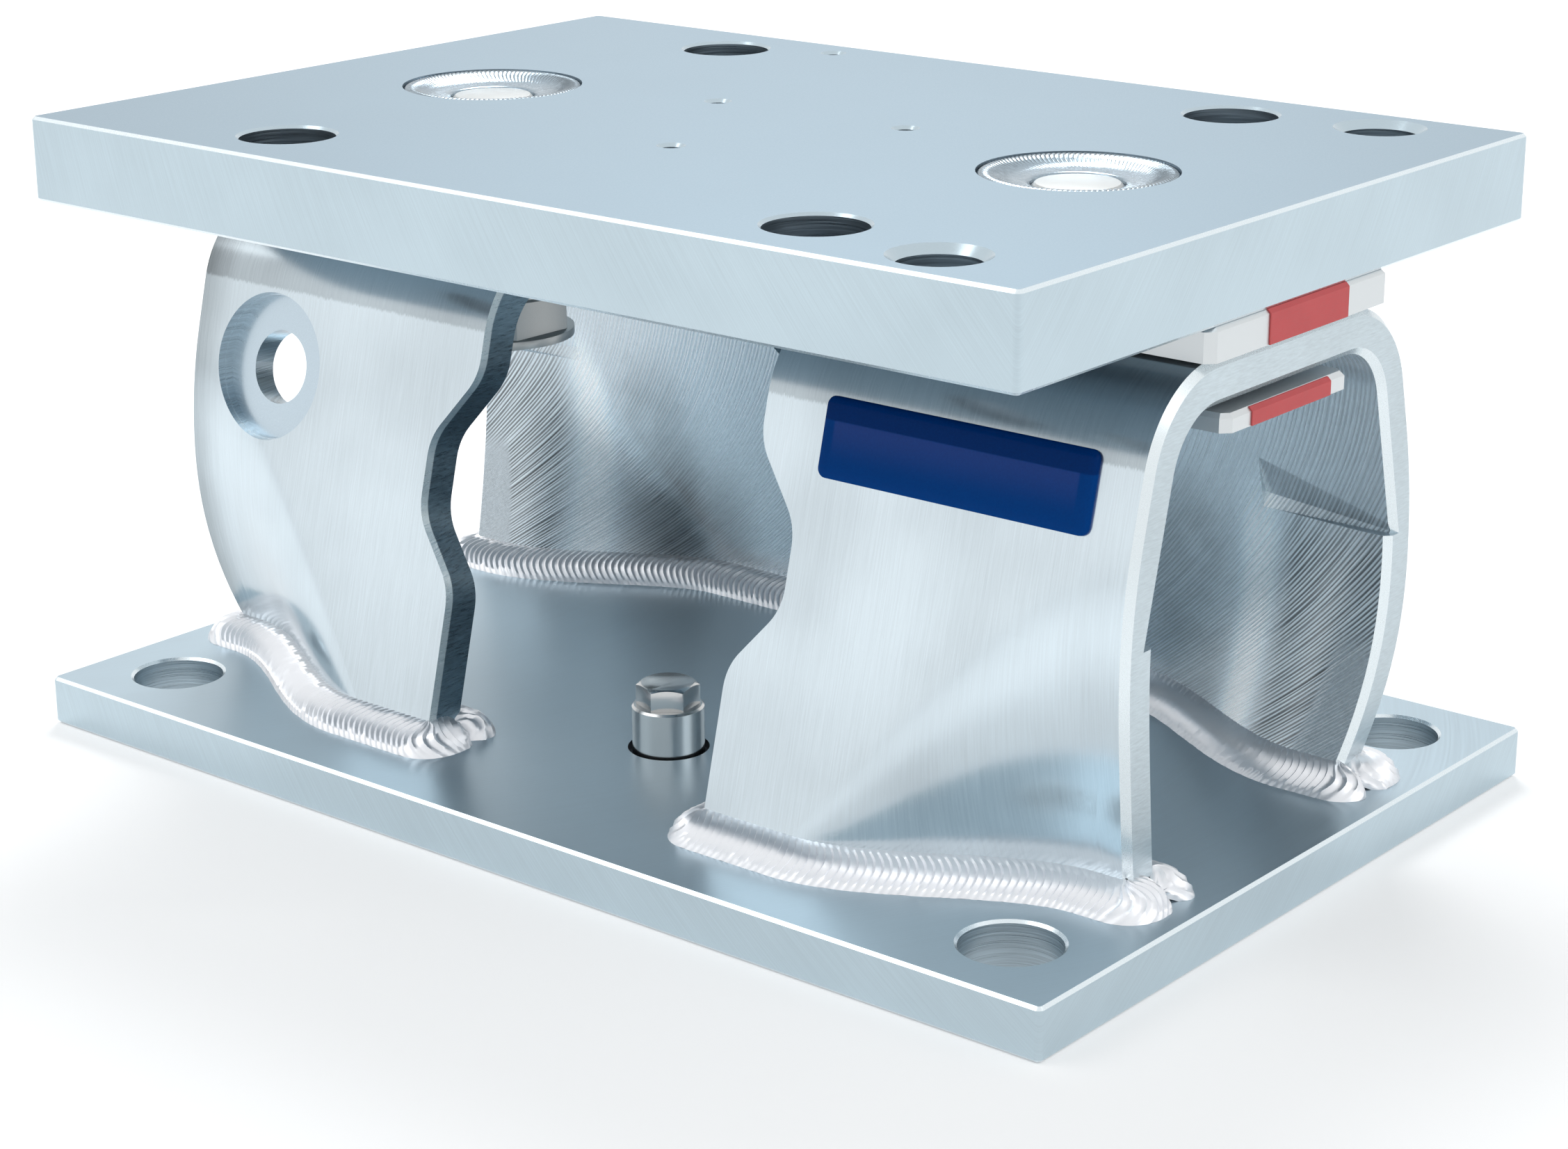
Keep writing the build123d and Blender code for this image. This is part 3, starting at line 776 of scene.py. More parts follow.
# Dark base colour of the cut ends: painted dark reflection.
BAY_CUT = CutSteel("bay_cut", HOOP, (0.10, 0.15, 0.185), Grain.SAWN, 0.08, 0.9, 0.3, 1.9)
HOOP_BEVEL = Steel("hoop_bevel", HOOP, (0.80, 0.87, 0.90), Grain.ROLLED, 0.003, 0.85, 0.26, 0.05)
SHIM_STEEL = Steel("shim_steel", "shim_steel", (0.36, 0.40, 0.415), Grain.CAST, 0.08, 0.75, 0.42, 0.45)
BOLT_STEEL = Steel("bolt_steel", BOLT, (0.50, 0.52, 0.52), Grain.ROLLED, 0.02, 0.85, 0.36, 0.15)
STAINLESS = Steel(
    "stainless", "stainless_steel", (0.60, 0.61, 0.61), Grain.ROLLED, 0.003, 1.0, 0.2, 0.04
)
PIT_STEEL = Steel("pit_steel", PLATE, (0.10, 0.12, 0.14), Grain.ROLLED, 0.003, 0.8, 0.4, 0.05)
WELD = WeldMetal("weld_metal", "weld_metal")
PLUG_METAL = WeldMetal("plug_metal", "weld_metal", (0.33, 0.41, 0.47), 0.015)
RED_TAPE = Tape("red_tape", "tape_red", (0.62, 0.085, 0.09))
ENAMEL = BadgeEnamel("badge_enamel", "badge_blue")


@dataclass
class HoopForm:
    """The sizes of the pressed hoops that the foot welds and the badge follow, in millimetres."""

    wall: float = 10.0
    front_end: float = 42.5
    back_end: float = 30.0
    outer_end: float = 140.5
    foot_end: float = 135.4
    trim_height: float = 56.95
    fold_height: float = 94.97
    curl_radius: float = 118.3
    ledge_height: float = 70.0
    foot_fold: tuple[float, float] = (62.19, 127.83)
    ledge_fold: tuple[float, float] = (106.49, 138.0)

    def reach(self, height: float) -> float:
        """Returns the distance of a leg's plain outer face from the middle plane."""
        return FOOT_REACH - (height - BASE_TOP) * LEG_SLOPE

    def far_end(self, height: float) -> float:
        """Returns where a leg ends along the hoop at a height."""
        below = max(self.trim_height - height, 0.0) / (self.trim_height - BASE_TOP)
        return self.outer_end - (self.outer_end - self.foot_end) * below * below

    def leg_face(self, along: float, height: float, inside: bool) -> float:
        """Returns the distance of a leg's face from the middle plane, below the fold line.

        Args:
            along: place along the hoop.
            height: height above the floor.
            inside: whether the inner face is meant.

        Returns:
            The distance.
        """
        wall = self.wall / LEG_COSINE
        depth = (self.fold_height - height) ** 2 / (2 * self.curl_radius)
        rise = (height - BASE_TOP) / (self.ledge_height - BASE_TOP)
        folds = zip(self.foot_fold, self.ledge_fold)
        start, finish = (foot + (ledge - foot) * rise for foot, ledge in folds)
        if inside:
            shift = wall * math.tan(math.atan(1.5 * depth / (finish - start)) / 2)
            start, finish = start - shift, finish - shift
        share = min(max((along - start) / (finish - start), 0.0), 1.0)
        pushed = depth * share * share * (3 - 2 * share)
        return self.reach(height) - pushed - (wall if inside else 0.0)

    def front_face(self, along: float, height: float) -> Matrix:
        """Returns the place of a point on the front leg's outer face, with local Z outwards.

        Args:
            along: place along X.
            height: height above the floor.

        Returns:
            The matrix, in metres.
        """
        turn = Matrix.Rotation(math.radians(90.0 - LEG_LEAN), 4, "X")
        return Matrix.Translation(Vector((along, -self.reach(height), height)) * MM) @ turn


@dataclass
class FootWeld:
    """The rippled fillet beads along the feet of the hoops, turned round the ends of the legs."""

    form: HoopForm
    width: float = 9.0
    height: float = 6.3
    bulge: float = 0.9
    pitch: float = 1.8
    ripple: float = 0.5
    sweep: float = 2.8
    core: float = 4.2
    gap: float = 0.8
    sink: float = 0.35
    outer_turn: float = 90.0
    outer_run: float = 10.0
    inner_turn: float = 80.0
    inner_run: float = 4.0
    tip: float = 5.0
    tip_rings: int = 7
    tip_size: float = 0.12
    unevenness: float = 0.3
    lip: tuple[float, ...] = (0.0, 1.0, 0.5, 0.0)
    face_points: int = 12
    stations: int = 64
    turn_steps: int = 8

    def section(self) -> list[tuple[float, float, float]]:
        """Returns the bead's section as (out, up, share across), the share being -1 off the face."""
        points = []
        for index in range(self.face_points + 1):
            share = index / self.face_points
            swell = self.bulge * math.sin(math.pi * share)
            points.append((self.width * (1 - share) + swell, self.height * share + swell, share))
        return points + [(0.0, self.height / 2, -1.0), (0.0, 0.0, -1.0), (self.width / 2, 0.0, -1.0)]

    def slice_of_bead(self) -> bpy.types.Object:
        """Returns one ripple of the bead as a short open tube along X."""
        section = self.section()
        slice_piece = Bench.primitive(
            bpy.ops.mesh.primitive_cylinder_add, "weld_ripple", vertices=len(section),
            radius=self.width * MM, depth=self.pitch * MM, end_fill_type="NOTHING",
            rotation=(0, math.radians(90), 0),
        )
        bpy.ops.object.transform_apply(rotation=True)
        corners = slice_piece.data.vertices
        Bench.pick(slice_piece, lambda edge: Bench.spans(corners, edge, 0), "EDGE")
        bpy.ops.mesh.subdivide(number_cuts=len(self.lip) - 2)
        Bench.done()
        self.shape_slice(slice_piece, section)
        return slice_piece

    def shape_slice(self, piece: bpy.types.Object, section: list[tuple[float, float, float]]) -> None:
        """Moves each lengthwise row of the tube to its place in the section.

        Args:
            piece: the open tube.
            section: the bead's section.
        """
        ripple = piece.data.attributes.new(RIPPLE, "FLOAT", "POINT")
        step = self.pitch / (len(self.lip) - 1)
        rows: dict[tuple[int, int], list[int]] = {}
        for vertex in piece.data.vertices:
            angle = math.atan2(vertex.co.z, vertex.co.y) % math.tau
            row = round(angle / math.tau * len(section)) % len(section)
            column = round((vertex.co.x / MM + self.pitch / 2) / step)
            rows.setdefault((row, column), []).append(vertex.index)
            ripple.data[vertex.index].value = self.lip[column]
        for (row, column), indices in rows.items():
            out, up, share = section[row]
            crown = math.sin(math.pi * share) if share >= 0 else 0.0
            lift = self.ripple * self.lip[column] * math.sqrt(max(crown, 0.0))
            place = (column * step + self.sweep * crown, out - self.core + lift, up + lift)
            current = piece.data.vertices[indices[0]].co.copy()
            Bench.pick(piece, lambda vertex: vertex.index in indices, "VERT")
            bpy.ops.transform.translate(value=Vector(place) * MM - current)
            Bench.done()

    def way(self, inner_end: float, inside: bool) -> list[tuple[float, float]]:
        """Returns the line in plan that the bead's middle follows round the right back leg.

        Args:
            inner_end: where the leg starts along the hoop.
            inside: whether the bead lies on the inner side.

        Returns:
            The points, in millimetres.
        """
        peak = BASE_TOP + self.height
        near, far = inner_end + self.gap, self.form.far_end(peak) - self.gap
        side = -1.0 if inside else 1.0
        turn = math.radians(self.inner_turn if inside else self.outer_turn)
        run = self.inner_run if inside else self.outer_run
        corners = [(x, self.form.leg_face(x, peak, inside) - side * self.sink) for x in (near, far)]
        ends = []
        for (x, y), heading in zip(corners, (-1.0, 1.0)):
            arc = []
            for step in range(self.turn_steps + 1):
                angle = turn * step / self.turn_steps
                ahead, aside = heading * math.sin(angle), side * math.cos(angle)
                arc.append((x + self.core * ahead, y + self.core * aside))
            along = (heading * math.cos(turn), -side * math.sin(turn))
            arc.append((arc[-1][0] + along[0] * run, arc[-1][1] + along[1] * run))
            ends.append(arc)
        middle = []
        for index in range(1, self.stations):
            x = near + (far - near) * index / self.stations
            ahead, behind = (self.form.leg_face(x + step, peak, inside) for step in (0.1, -0.1))
            normal = Vector((-(ahead - behind) / 0.2, 1.0)).normalized() * side * self.core
            y = self.form.leg_face(x, peak, inside) - side * self.sink
            middle.append((x + normal.x, y + normal.y))
        return ends[0][::-1] + middle + ends[1]

    def path(self, points: list[tuple[float, float]]) -> bpy.types.Object:
        """Returns a level curve through points given in millimetres."""
        curve = bpy.data.curves.new("foot_line", "CURVE")
        curve.dimensions = "3D"
        curve.twist_mode = "Z_UP"
        spline = curve.splines.new("POLY")
        spline.points.add(len(points) - 1)
        for point, (x, y) in zip(spline.points, points):
            point.co = (x * MM, y * MM, 0.0, 1.0)
        line = bpy.data.objects.new("foot_line", curve)
        bpy.context.collection.objects.link(line)
        return line

    def bead(self, inner_end: float, inside: bool, name: str) -> bpy.types.Object:
        """Returns the whole bead of the right back leg.

        Args:
            inner_end: where the leg starts along the hoop.
            inside: whether it lies on the leg's inner side.
            name: the piece's name.

        Returns:
            The bead.
        """
        points = self.way(inner_end, inside)
        length = sum(math.dist(first, second) for first, second in zip(points, points[1:]))
        piece = self.slice_of_bead()
        count = round((length - self.sweep) / self.pitch)
        Bench.modifier(
            piece, "ARRAY", count=count, use_relative_offset=False, use_constant_offset=True,
            constant_offset_displace=(self.pitch * MM, 0, 0), use_merge_vertices=True,
            merge_threshold=1e-5,
        )
        grit = bpy.data.textures.new("weld_grit", "CLOUDS")
        grit.noise_scale = 1.5 * MM
        grit.noise_depth = 2
        Bench.modifier(piece, "DISPLACE", texture=grit, strength=self.unevenness * MM,
                       mid_level=0.5, texture_coords="LOCAL", direction="NORMAL")
        self.close_ends(piece, count * self.pitch)
        if inside:
            Bench.settle(piece, Matrix.Scale(-1, 4, Vector((0, 1, 0))))
        line = self.path(points)
        Bench.modifier(piece, "CURVE", object=line, deform_axis="POS_X")
        Bench.settle(piece, Matrix.Translation((0, 0, BASE_TOP * MM)))
        Bench.discard(line)
        piece.name = piece.data.name = name
        Bench.tidy(piece)
        return piece

    def close_ends(self, piece: bpy.types.Object, length: float) -> None:
        """Tapers both ends of the straight bead to pointed tips and closes them.

        Args:
            piece: the straight bead.
            length: its length.
        """
        step = self.tip / self.tip_rings
        for far in (False, True):
            for ring in range(self.tip_rings):

                def near_end(vertex: Any) -> bool:
                    """Returns whether a vertex lies in this ring of the tip."""
                    place = vertex.co.x / MM
                    distance = length + self.sweep - place if far else place
                    return ring * step <= distance < (ring + 1) * step

                grown = math.sqrt((ring + 0.4) / self.tip_rings)
                size = self.tip_size + (1 - self.tip_size) * grown
                if Bench.pick(piece, near_end, "VERT"):
                    bpy.ops.transform.resize(value=(1, size, size),
                                             center_override=(0, -self.core * MM, 0))
                Bench.done()
        Bench.pick_rims(piece)
        bpy.ops.mesh.edge_face_add()
        Bench.done()

    def build(self) -> None:
        """Builds all eight beads and sets them in the places of the plain ones."""
        as_built, turned = Matrix.Identity(4), Matrix.Rotation(math.pi, 4, "Z")
        to_left, to_front = (Matrix.Scale(-1, 4, Vector(axis)) for axis in ((1, 0, 0), (0, 1, 0)))
        legs = (
            ("back", self.form.back_end, {"right": as_built, "left": to_left}),
            ("front", self.form.front_end, {"right": to_front, "left": turned}),
        )
        for leg, inner_end, places in legs:
            for inside, face in ((False, "outer"), (True, "inner")):
                first = self.bead(inner_end, inside, "first_bead_" + leg + "_" + face)
                for side, place in places.items():
                    name = side + "_" + leg + "_" + face + "_weld"
                    piece = Bench.copy(first, "bead_" + name)
                    Bench.settle(piece, place)
                    Bench.tidy(piece)
                    Bench.smooth(piece, 60.0)
                    dress(piece, ((WELD, None),))
                    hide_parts(name)
                    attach(piece, "base")
                    report(piece)
                Bench.discard(first)


@dataclass
class PlugWeld:
    """The rings of rippled weld round the ends of the anti-lift bolts."""

    inner: float = 10.25
    outer: float = 21.9
    floor: float = 147.0
    ripples: int = 112
    lift: float = 0.22
    lip: tuple[float, ...] = (0.0, 1.0, 0.6, 0.0)
    swirl: float = 0.10
    swirl_reach: float = 7.0
    profile: tuple[Point, ...] = (
        (21.9, 152.0, 0.3), (21.2, 152.55, 0.8), (20.3, 152.75, 1.0), (19.2, 152.6, 1.0),
        (18.0, 152.1, 0.9), (16.8, 151.5, 0.6), (15.6, 151.05, 0.35), (14.4, 150.85, 0.15),
        (12.9, 150.7, 0.05), (11.4, 150.6, 0.0), (10.5, 150.45, 0.0), (10.25, 150.1, 0.0),
    )

    def sector(self) -> bpy.types.Object:
        """Returns one ripple of the ring about the origin, made from a grid."""
        points = (*self.profile, (self.inner, self.floor, 0.0), (self.outer, self.floor, 0.0))
        rows, columns = len(points) - 1, len(self.lip) - 1
        piece = Bench.primitive(
            bpy.ops.mesh.primitive_grid_add, "plug_ripple", x_subdivisions=rows,
            y_subdivisions=columns, size=1.0,
        )
        ripple = piece.data.attributes.new(RIPPLE, "FLOAT", "POINT")
        turn = math.tau / self.ripples
        for vertex in list(piece.data.vertices):
            row = round((vertex.co.x + 0.5) * rows)
            column = round((vertex.co.y + 0.5) * columns)
            radius, height, share = points[row]
            inward = min(max((self.outer - radius) / self.swirl_reach, 0.0), 1.0)
            angle = turn * column / columns + self.swirl * math.sin(math.pi * inward)
            height += self.lift * share * self.lip[column]
            vertex.co = Vector((radius * math.cos(angle), radius * math.sin(angle), height)) * MM
            ripple.data[vertex.index].value = 1.0 - share * (1.0 - self.lip[column])
        return piece

    def build(self) -> None:
        """Builds both rings and sets them in the places of the plain ones."""
        pivot = bpy.data.objects.new("ring_pivot", None)
        pivot.rotation_euler = (0, 0, math.tau / self.ripples)
        bpy.context.collection.objects.link(pivot)
        bpy.context.view_layer.update()
        first = self.sector()
        Bench.modifier(
            first, "ARRAY", count=self.ripples, use_relative_offset=False, use_object_offset=True,
            offset_object=pivot, use_merge_vertices=True, use_merge_vertices_cap=True,
            merge_threshold=2e-5,
        )
        Bench.pick_rims(first)
        bpy.ops.mesh.bridge_edge_loops()
        Bench.done()
        Bench.tidy(first, 1e-5)
        for side, sign in (("right", 1), ("left", -1)):
            piece = Bench.copy(first, side + "_plug_bead")
            Bench.settle(piece, Matrix.Translation((sign * PLUG_CENTRE * MM, 0, 0)))
            Bench.smooth(piece, 60.0)
            dress(piece, ((PLUG_METAL, None),))
            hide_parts(side + "_plug_weld")
            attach(piece, "lifting_top")
            report(piece)
        Bench.discard(first)
        Bench.discard(pivot)


@dataclass
class HoleThread:
    """The thread ridge on the wall of a tapped hole in the top plate."""

    name: str
    centre: tuple[float, float]
    wall: float
    pitch: float
    rim: float
    proud_share: float = 0.32
    clearance: float = 0.03

    def build(self) -> None:
        """Winds the ridge from a triangle and rides it on the top plate."""
        ridge = self.pitch * self.proud_share
        low, high = MODULE_HEIGHT - TOP_THICKNESS + self.rim, MODULE_HEIGHT - self.rim
        piece = Bench.primitive(
            bpy.ops.mesh.primitive_circle_add, self.name, vertices=3, radius=ridge * MM,
            fill_type="NGON", rotation=(math.radians(90), 0, 0),
        )
        bpy.ops.object.transform_apply(rotation=True)
        corners = ((self.clearance, -ridge), (-ridge, 0.0), (self.clearance, ridge))
        for vertex, (out, up) in zip(piece.data.vertices, corners):
            vertex.co = Vector((self.wall + out, 0, low + ridge + up)) * MM
        turns = int((high - low - 2 * ridge) / self.pitch)
        Bench.modifier(piece, "SCREW", screw_offset=self.pitch * MM, iterations=turns, steps=40,
                       render_steps=40, use_merge_vertices=True, merge_threshold=1e-6)
        Bench.settle(piece, Matrix.Translation((self.centre[0] * MM, self.centre[1] * MM, 0)))
        Bench.tidy(piece)
        Bench.smooth(piece, 40.0)
        dress(piece, ((HOLE_WALL, None),))
        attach(piece, "lifting_top")
        report(piece)


@dataclass
class Badge:
    """The blank domed badge on the right hoop's front leg."""

    form: HoopForm
    length: float = 69.0
    height: float = 17.6
    thickness: float = 1.8
    corner: float = 2.0
    middle: float = 94.0
    level: float = 101.0
    crown: tuple[tuple[float, float], ...] = (
        (0.12, 0.28), (0.25, 0.22), (0.45, 0.2), (0.8, 0.16), (1.1, 0.1), (1.3, 0.05), (1.4, 0.02),
    )

    def build(self) -> None:
        """Shapes the badge from a cube: rounded corners and a crown of insets."""
        rise = sum(step for inset, step in self.crown)
        plain = self.thickness - rise
        piece = Bench.primitive(bpy.ops.mesh.primitive_cube_add, "badge_dome", size=1.0)
        piece.scale = (self.length * MM, self.height * MM, plain * MM)
        piece.location = (0, 0, plain / 2 * MM)
        bpy.ops.object.transform_apply(location=True, rotation=True, scale=True)
        vertices = piece.data.vertices
        Bench.pick(piece, lambda edge: Bench.spans(vertices, edge, 2), "EDGE")
        bpy.ops.mesh.bevel(offset=self.corner * MM, segments=6)
        Bench.done()
        Bench.pick(piece, lambda face: face.normal.z > 0.9)
        length, height = self.length, self.height
        for inset, step in self.crown:
            bpy.ops.mesh.extrude_region_move(TRANSFORM_OT_translate={"value": (0, 0, step * MM)})
            shrink = (1 - 2 * inset / length, 1 - 2 * inset / height, 1)
            bpy.ops.transform.resize(value=shrink, center_override=(0, 0, 0))
            length, height = length - 2 * inset, height - 2 * inset
        Bench.done()
        Bench.settle(piece, self.form.front_face(self.middle, self.level))
        Bench.tidy(piece)
        Bench.smooth(piece, 50.0)
        dress(piece, ((ENAMEL, None),))
        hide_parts("badge")
        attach(piece, "base")
        report(piece)


@dataclass
class SteelPiece:
    """A copy of a CAD piece with a finish for each kind of face, softened along its edges if asked."""

    node: str
    body: str
    coats: Coats
    edge: float = 0.0
    angle: float = 30.0

    def build(self) -> None:
        """Copies and dresses the piece; only one with softened edges is merged and smoothed anew."""
        piece = Bench.copy(frame["nodes"][self.node], "dressed_" + self.node)
        if self.edge:
            Bench.tidy(piece, 2e-6, False)
            Bench.pick_all(piece)
            bpy.ops.mesh.dissolve_limited(angle_limit=math.radians(1.0))
            Bench.done()
            Bench.modifier(piece, "BEVEL", width=self.edge * MM, segments=2, limit_method="ANGLE",
                           angle_limit=math.radians(self.angle), harden_normals=False)
            Bench.smooth(piece, self.angle)
        dress(piece, self.coats)
        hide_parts(self.node)
        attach(piece, self.body)
        report(piece)


LEVEL = 0.9


def is_level(centre: Vector, normal: Vector) -> bool:
    """Returns whether a face lies flat."""
    return abs(normal.z) > LEVEL


def is_floor_top(centre: Vector, normal: Vector) -> bool:
    """Returns whether a face is the base plate's upper side."""
    return normal.z > LEVEL and centre.z > BASE_TOP - 0.5


def is_pit(centre: Vector, normal: Vector) -> bool:
    """Returns whether a face belongs to the sleeve's shallow pit."""
    near = math.hypot(centre.x - PIT_CENTRE[0], centre.y - PIT_CENTRE[1]) < 9.75
    return near and centre.z < BASE_TOP - 0.01


def is_plate_bevel(centre: Vector, normal: Vector) -> bool:
    """Returns whether a face is a bevel along an outer edge or a rim."""
    return 0.3 < abs(normal.z) < LEVEL


def is_rim(centre: Vector, normal: Vector) -> bool:
    """Returns whether a face is the bevel of a hole's rim in the top plate."""
    inside = abs(centre.x) < 141.0 and abs(centre.y) < 96.5
    return inside and is_plate_bevel(centre, normal)


def is_hole_wall(centre: Vector, normal: Vector) -> bool:
    """Returns whether a face belongs to a hole of the top plate, away from its outer sides."""
    return abs(centre.x) < 141.0 and abs(centre.y) < 97.0 and abs(normal.z) < LEVEL


def is_base_hole_wall(centre: Vector, normal: Vector) -> bool:
    """Returns whether a face belongs to a hole of the base plate, away from its outer sides."""
    return abs(centre.x) < 149.0 and abs(centre.y) < 97.0 and abs(normal.z) < LEVEL


def is_bay_cut(centre: Vector, normal: Vector) -> bool:
    """Returns whether a face of a hoop is its cut end towards the bay, or its waist."""
    return abs(centre.x) < 60.0 and abs(normal.x) > 0.6


def leg_hole_radius(centre: Vector) -> float:
    """Returns the distance of a place on the leaning front leg from the middle of the leg hole."""
    return math.hypot(centre.x - LEG_HOLE[0], (centre.z - LEG_HOLE[1]) / LEG_COSINE)


def is_leg_hole(centre: Vector, normal: Vector) -> bool:
    """Returns whether a face belongs to the wall of the counterbored leg hole."""
    return centre.y < 0 and leg_hole_radius(centre) < 18.4 and abs(normal.y) < 0.6


def is_bore_floor(centre: Vector, normal: Vector) -> bool:
    """Returns whether a face is the floor of the leg hole's counterbore."""
    sunk = FOOT_REACH - (centre.z - BASE_TOP) * LEG_SLOPE + centre.y
    near = centre.y < 0 and leg_hole_radius(centre) < 18.2
    return near and sunk > 1.0 and normal.y < -0.8


def is_ledge_step(centre: Vector, normal: Vector) -> bool:
    """Returns whether a face is the level step of the ledge inside a leg."""
    near = 96.0 < abs(centre.x) < 140.2 and 69.0 < centre.z < 82.0
    return near and normal.z > 0.6


def is_cut_face(centre: Vector, normal: Vector) -> bool:
    """Returns whether a face of a hoop is its outer cut end."""
    return abs(normal.x) > 0.93


def is_hoop_bevel(centre: Vector, normal: Vector) -> bool:
    """Returns whether a face is the bevel along a hoop's outer end."""
    return abs(centre.x) > 132.0 and 0.45 < abs(normal.x) <= 0.93


def is_inner_face(centre: Vector, normal: Vector) -> bool:
    """Returns whether a face of a hoop looks to the inside of the arch."""
    inward = normal.y * math.copysign(1.0, centre.y)
    return inward < -0.2 or (normal.z < -0.5 and abs(centre.y) < 40)


@dataclass
class Plates:
    """The base plate and the top plate."""

    base: Coats = (
        (ZINC_EDGE, None), (PIT_STEEL, is_pit), (BAY_FLOOR, is_floor_top), (ZINC_FACE, is_level),
        (ZINC_BEVEL_HIGHLIGHT, is_plate_bevel), (HOLE_WALL, is_base_hole_wall),
    )
    top: Coats = (
        (ZINC_EDGE, None), (ZINC_FACE, is_level), (RIM, is_rim), (ZINC_BEVEL_HIGHLIGHT, is_plate_bevel),
        (SHADED_HOLE_WALL, is_hole_wall),
    )

    def build(self) -> None:
        """Dresses both plates."""
        SteelPiece("base_plate", "base", self.base).build()
        SteelPiece("top_plate", "lifting_top", self.top).build()


@dataclass
class Hoops:
    """The two pressed hoops with their foot welds and the badge."""

    form: HoopForm = field(default_factory=HoopForm)
    coats: Coats = (
        (HOOP_OUTER, None), (BAY_CUT, is_bay_cut), (HOLE_WALL, is_leg_hole),
        (BORE_FLOOR, is_bore_floor), (HOOP_CUT, is_cut_face), (HOOP_BEVEL, is_hoop_bevel),
        (LEDGE_STEP, is_ledge_step), (HOOP_INNER, is_inner_face),
    )

    def build(self) -> None:
        """Dresses the hoops, then builds what is fixed to them."""
        for node in ("right_hoop", "left_hoop"):
            SteelPiece(node, "base", self.coats).build()
        FootWeld(self.form).build()
        Badge(self.form).build()


@dataclass
class Fasteners:
    """The bolts, washers, shims, tapes and the locating sleeve."""

    kept: tuple[tuple[str, Finish], ...] = (
        ("antilift_washer", BOLT_STEEL), ("upper_shim", SHIM_STEEL), ("lower_shim", SHIM_STEEL),
        ("upper_tape", RED_TAPE), ("lower_tape", RED_TAPE),
    )

    def build(self) -> None:
        """Dresses the fasteners; the simple ones keep their CAD mesh."""
        for side in ("right", "left"):
            SteelPiece(side + "_antilift_bolt", "lifting_top", ((BOLT_STEEL, None),), 0.3).build()
            for node, finish in self.kept:
                self.keep(side + "_" + node, finish)
        SteelPiece("locating_bolt", "base", ((STAINLESS, None),), 0.2).build()
        self.keep("locating_sleeve", STAINLESS)

    def keep(self, node: str, finish: Finish) -> None:
        """Gives a CAD node its finish.

        Args:
            node: the node's name.
            finish: its finish.
        """
        piece = frame["nodes"][node]
        piece.data.materials.clear()
        piece.data.materials.append(finish.material())
        LOG.info("%s: CAD mesh with %s", node, finish.name)


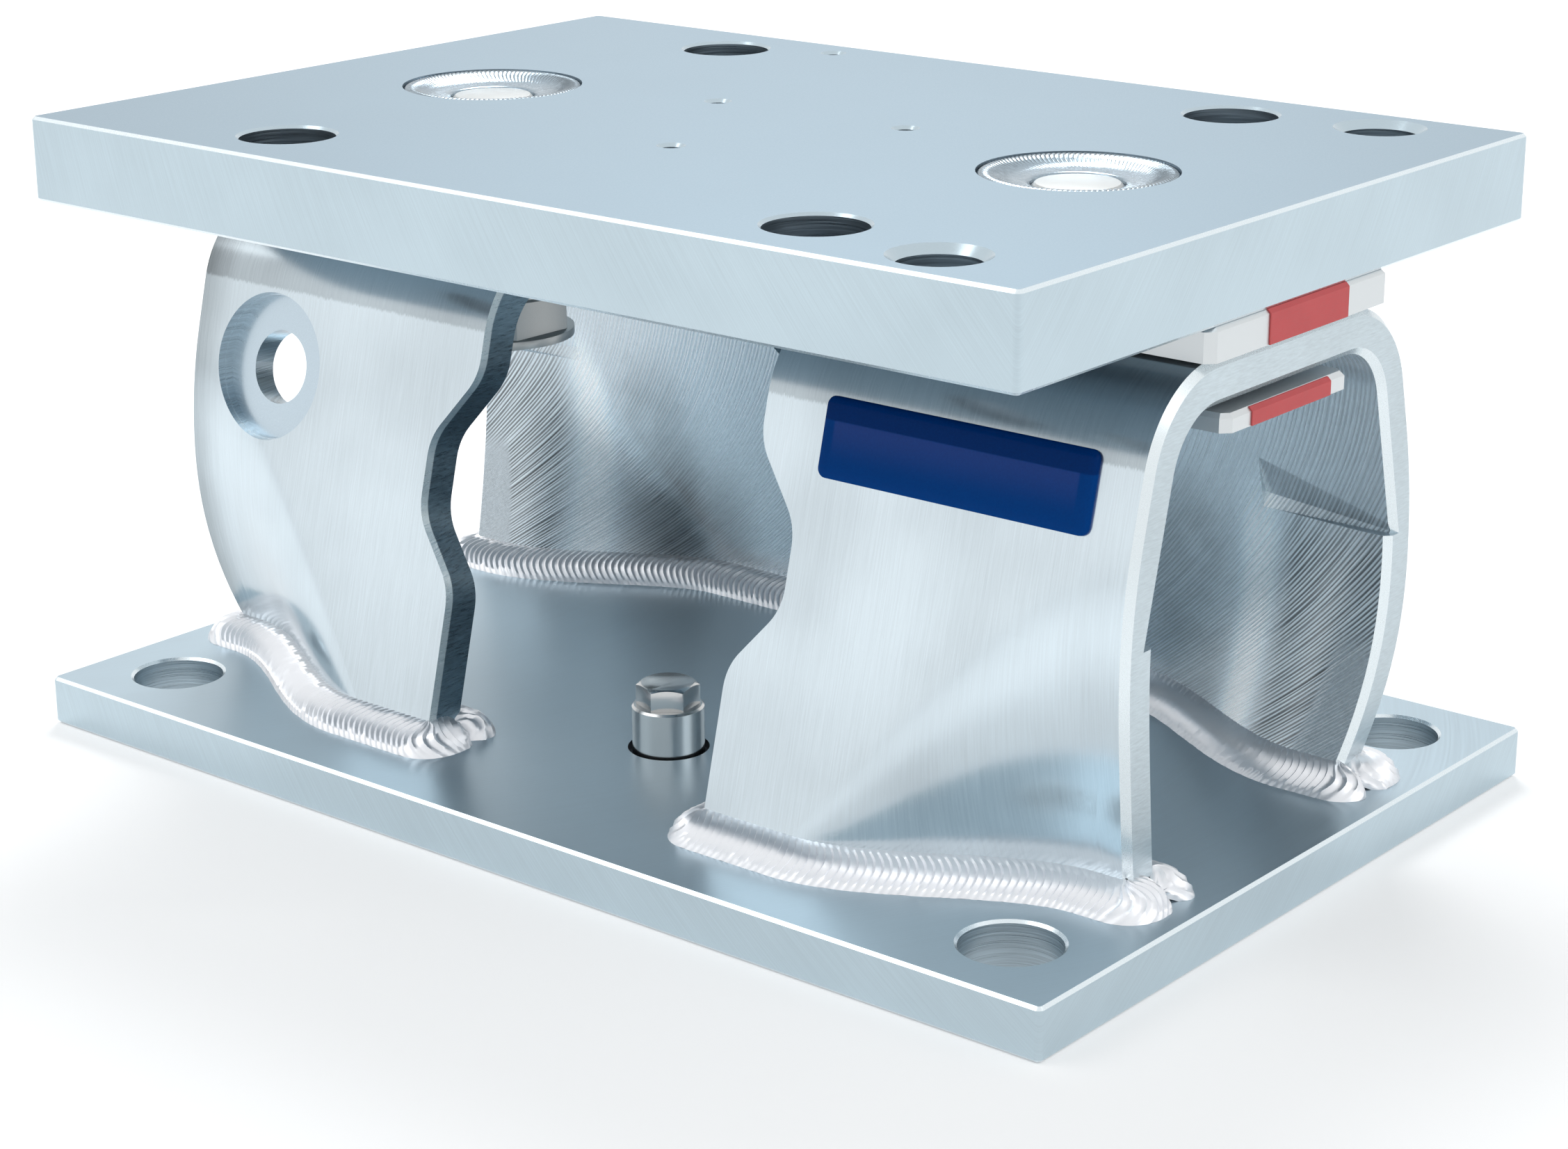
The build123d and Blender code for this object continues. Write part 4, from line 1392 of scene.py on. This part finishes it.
@dataclass
class Studio:
    """The floor, the light and the camera."""

    eye: Point = (481.7, -575.8, 291.8)
    forward: Point = (-0.6056, 0.7315, -0.3130)
    side: Point = (0.7703, 0.6377, 0.0)
    roll: float = -0.0048901
    lens: float = 75.78
    floor_side: float = 30.0
    floor_share: float = 0.14
    floor_glow: float = 2.5
    seen_colour: Colour = (1.0, 1.0, 1.0)
    light_colour: Colour = (0.95, 0.98, 1.0)
    light_strength: float = 0.56
    middle: Point = (0.0, 0.0, 0.08)
    lamps: tuple[tuple[str, Point, float, float], ...] = (
        ("key_lamp", (-0.9, -1.0, 1.5), 1.2, 7.0), ("back_lamp", (-0.7, 0.9, 1.5), 0.6, 14.0),
        ("side_lamp", (1.6, 0.2, 0.9), 1.0, 4.0),
    )

    def camera(self) -> None:
        """Sets the camera where the photograph was taken."""
        data = bpy.data.cameras.new("camera")
        data.lens = self.lens
        data.sensor_width = 36.0
        data.clip_start = 0.01
        data.clip_end = 50.0
        forward, side = Vector(self.forward).normalized(), Vector(self.side).normalized()
        up = side.cross(forward)
        turned_side = side * math.cos(self.roll) + up * math.sin(self.roll)
        turned_up = up * math.cos(self.roll) - side * math.sin(self.roll)
        turn = Matrix((turned_side, turned_up, -forward)).transposed().to_4x4()
        camera = bpy.data.objects.new("camera", data)
        camera.matrix_world = Matrix.Translation(Vector(self.eye) * MM) @ turn
        bpy.context.scene.collection.objects.link(camera)
        bpy.context.scene.camera = camera

    def floor(self) -> None:
        """Lays the pale floor."""
        plane = bpy.ops.mesh.primitive_plane_add
        floor = Bench.primitive(plane, "floor", size=self.floor_side, location=(0, 0, -0.0002))
        bpy.ops.object.transform_apply(location=True)
        tree = FinishTree("floor_white")
        x, y, z = tree.place()
        cloud = tree.noise(tree.vector(x, y, z), 0.002, 2.0, 0.5)
        white = tree.tint((0.93, 0.93, 0.93), cloud.ramp(0.2, 0.8, 0.995, 1.0))
        tree.surface(Base_Color=white, Roughness=0.9, Specular_IOR_Level=0.0)
        shown = tree.add("ShaderNodeLightPath", {}, {}, "Is Camera Ray")
        for ray in ("Is Glossy Ray", "Is Transmission Ray"):
            shown = shown.maths("MAXIMUM", tree.add("ShaderNodeLightPath", {}, {}, ray))
        colour = {"Color": self.seen_colour, "Strength": self.floor_glow}
        glow = tree.add("ShaderNodeEmission", {}, colour)
        parts = {0: shown * self.floor_share, 1: tree.diffuse(), 2: glow}
        tree.finish_with(tree.add("ShaderNodeMixShader", {}, parts))
        floor.data.materials.append(tree.material)

    def world(self) -> None:
        """Makes the surroundings: plain light, and white where they are seen or mirrored."""
        world = bpy.data.worlds.new("studio")
        bpy.context.scene.world = world
        world.use_nodes = True
        nodes, links = world.node_tree.nodes, world.node_tree.links
        nodes.clear()
        seen = nodes.new("ShaderNodeBackground")
        light = nodes.new("ShaderNodeBackground")
        path = nodes.new("ShaderNodeLightPath")
        mix = nodes.new("ShaderNodeMixShader")
        end = nodes.new("ShaderNodeOutputWorld")
        seen.inputs["Color"].default_value = (*self.seen_colour, 1.0)
        light.inputs["Color"].default_value = (*self.light_colour, 1.0)
        light.inputs["Strength"].default_value = self.light_strength
        shown = path.outputs["Is Camera Ray"]
        for ray in ("Is Glossy Ray", "Is Transmission Ray"):
            either = nodes.new("ShaderNodeMath")
            either.operation = "MAXIMUM"
            links.new(shown, either.inputs[0])
            links.new(path.outputs[ray], either.inputs[1])
            shown = either.outputs[0]
        links.new(shown, mix.inputs["Fac"])
        links.new(light.outputs[0], mix.inputs[1])
        links.new(seen.outputs[0], mix.inputs[2])
        links.new(mix.outputs[0], end.inputs["Surface"])

    def lamp(self, name: str, place: Point, size: float, power: float) -> None:
        """Hangs one soft square lamp that faces the middle of the module.

        Args:
            name: the lamp's name.
            place: where it hangs, in metres.
            size: its side, in metres.
            power: its power, in watts.
        """
        data = bpy.data.lights.new(name, "AREA")
        data.energy = power
        data.size = size
        lamp = bpy.data.objects.new(name, data)
        turn = (Vector(self.middle) - Vector(place)).to_track_quat("-Z", "Y")
        lamp.matrix_world = Matrix.Translation(place) @ turn.to_matrix().to_4x4()
        bpy.context.scene.collection.objects.link(lamp)

    def build(self) -> None:
        """Sets up the whole studio."""
        bpy.context.scene.view_settings.view_transform = "Standard"
        self.camera()
        self.floor()
        self.world()
        for lamp in self.lamps:
            self.lamp(*lamp)
        LOG.info("studio: camera, floor, world and lamps")


THREADS = (
    HoleThread("front_jack_thread_ridge", (112.5, -83.0), 8.75, 2.5, 1.9),
    HoleThread("back_jack_thread_ridge", (112.5, 83.0), 8.75, 2.5, 1.9),
    HoleThread("earth_thread_ridge", (-50.3, 87.8), 2.5, 1.0, 0.8),
    HoleThread("cap_thread_ridge_front", (0.0, -32.5), 2.5, 1.0, 0.8),
    HoleThread("cap_thread_ridge_right", (28.146, 16.25), 2.5, 1.0, 0.8),
    HoleThread("cap_thread_ridge_left", (-28.146, 16.25), 2.5, 1.0, 0.8),
)


def main() -> None:
    """Builds every sub-assembly in order."""
    logging.basicConfig(level=logging.INFO, format="%(name)s %(message)s")
    Studio().build()
    Plates().build()
    Hoops().build()
    PlugWeld().build()
    for thread in THREADS:
        thread.build()
    Fasteners().build()


if __name__ == "__main__":
    main()
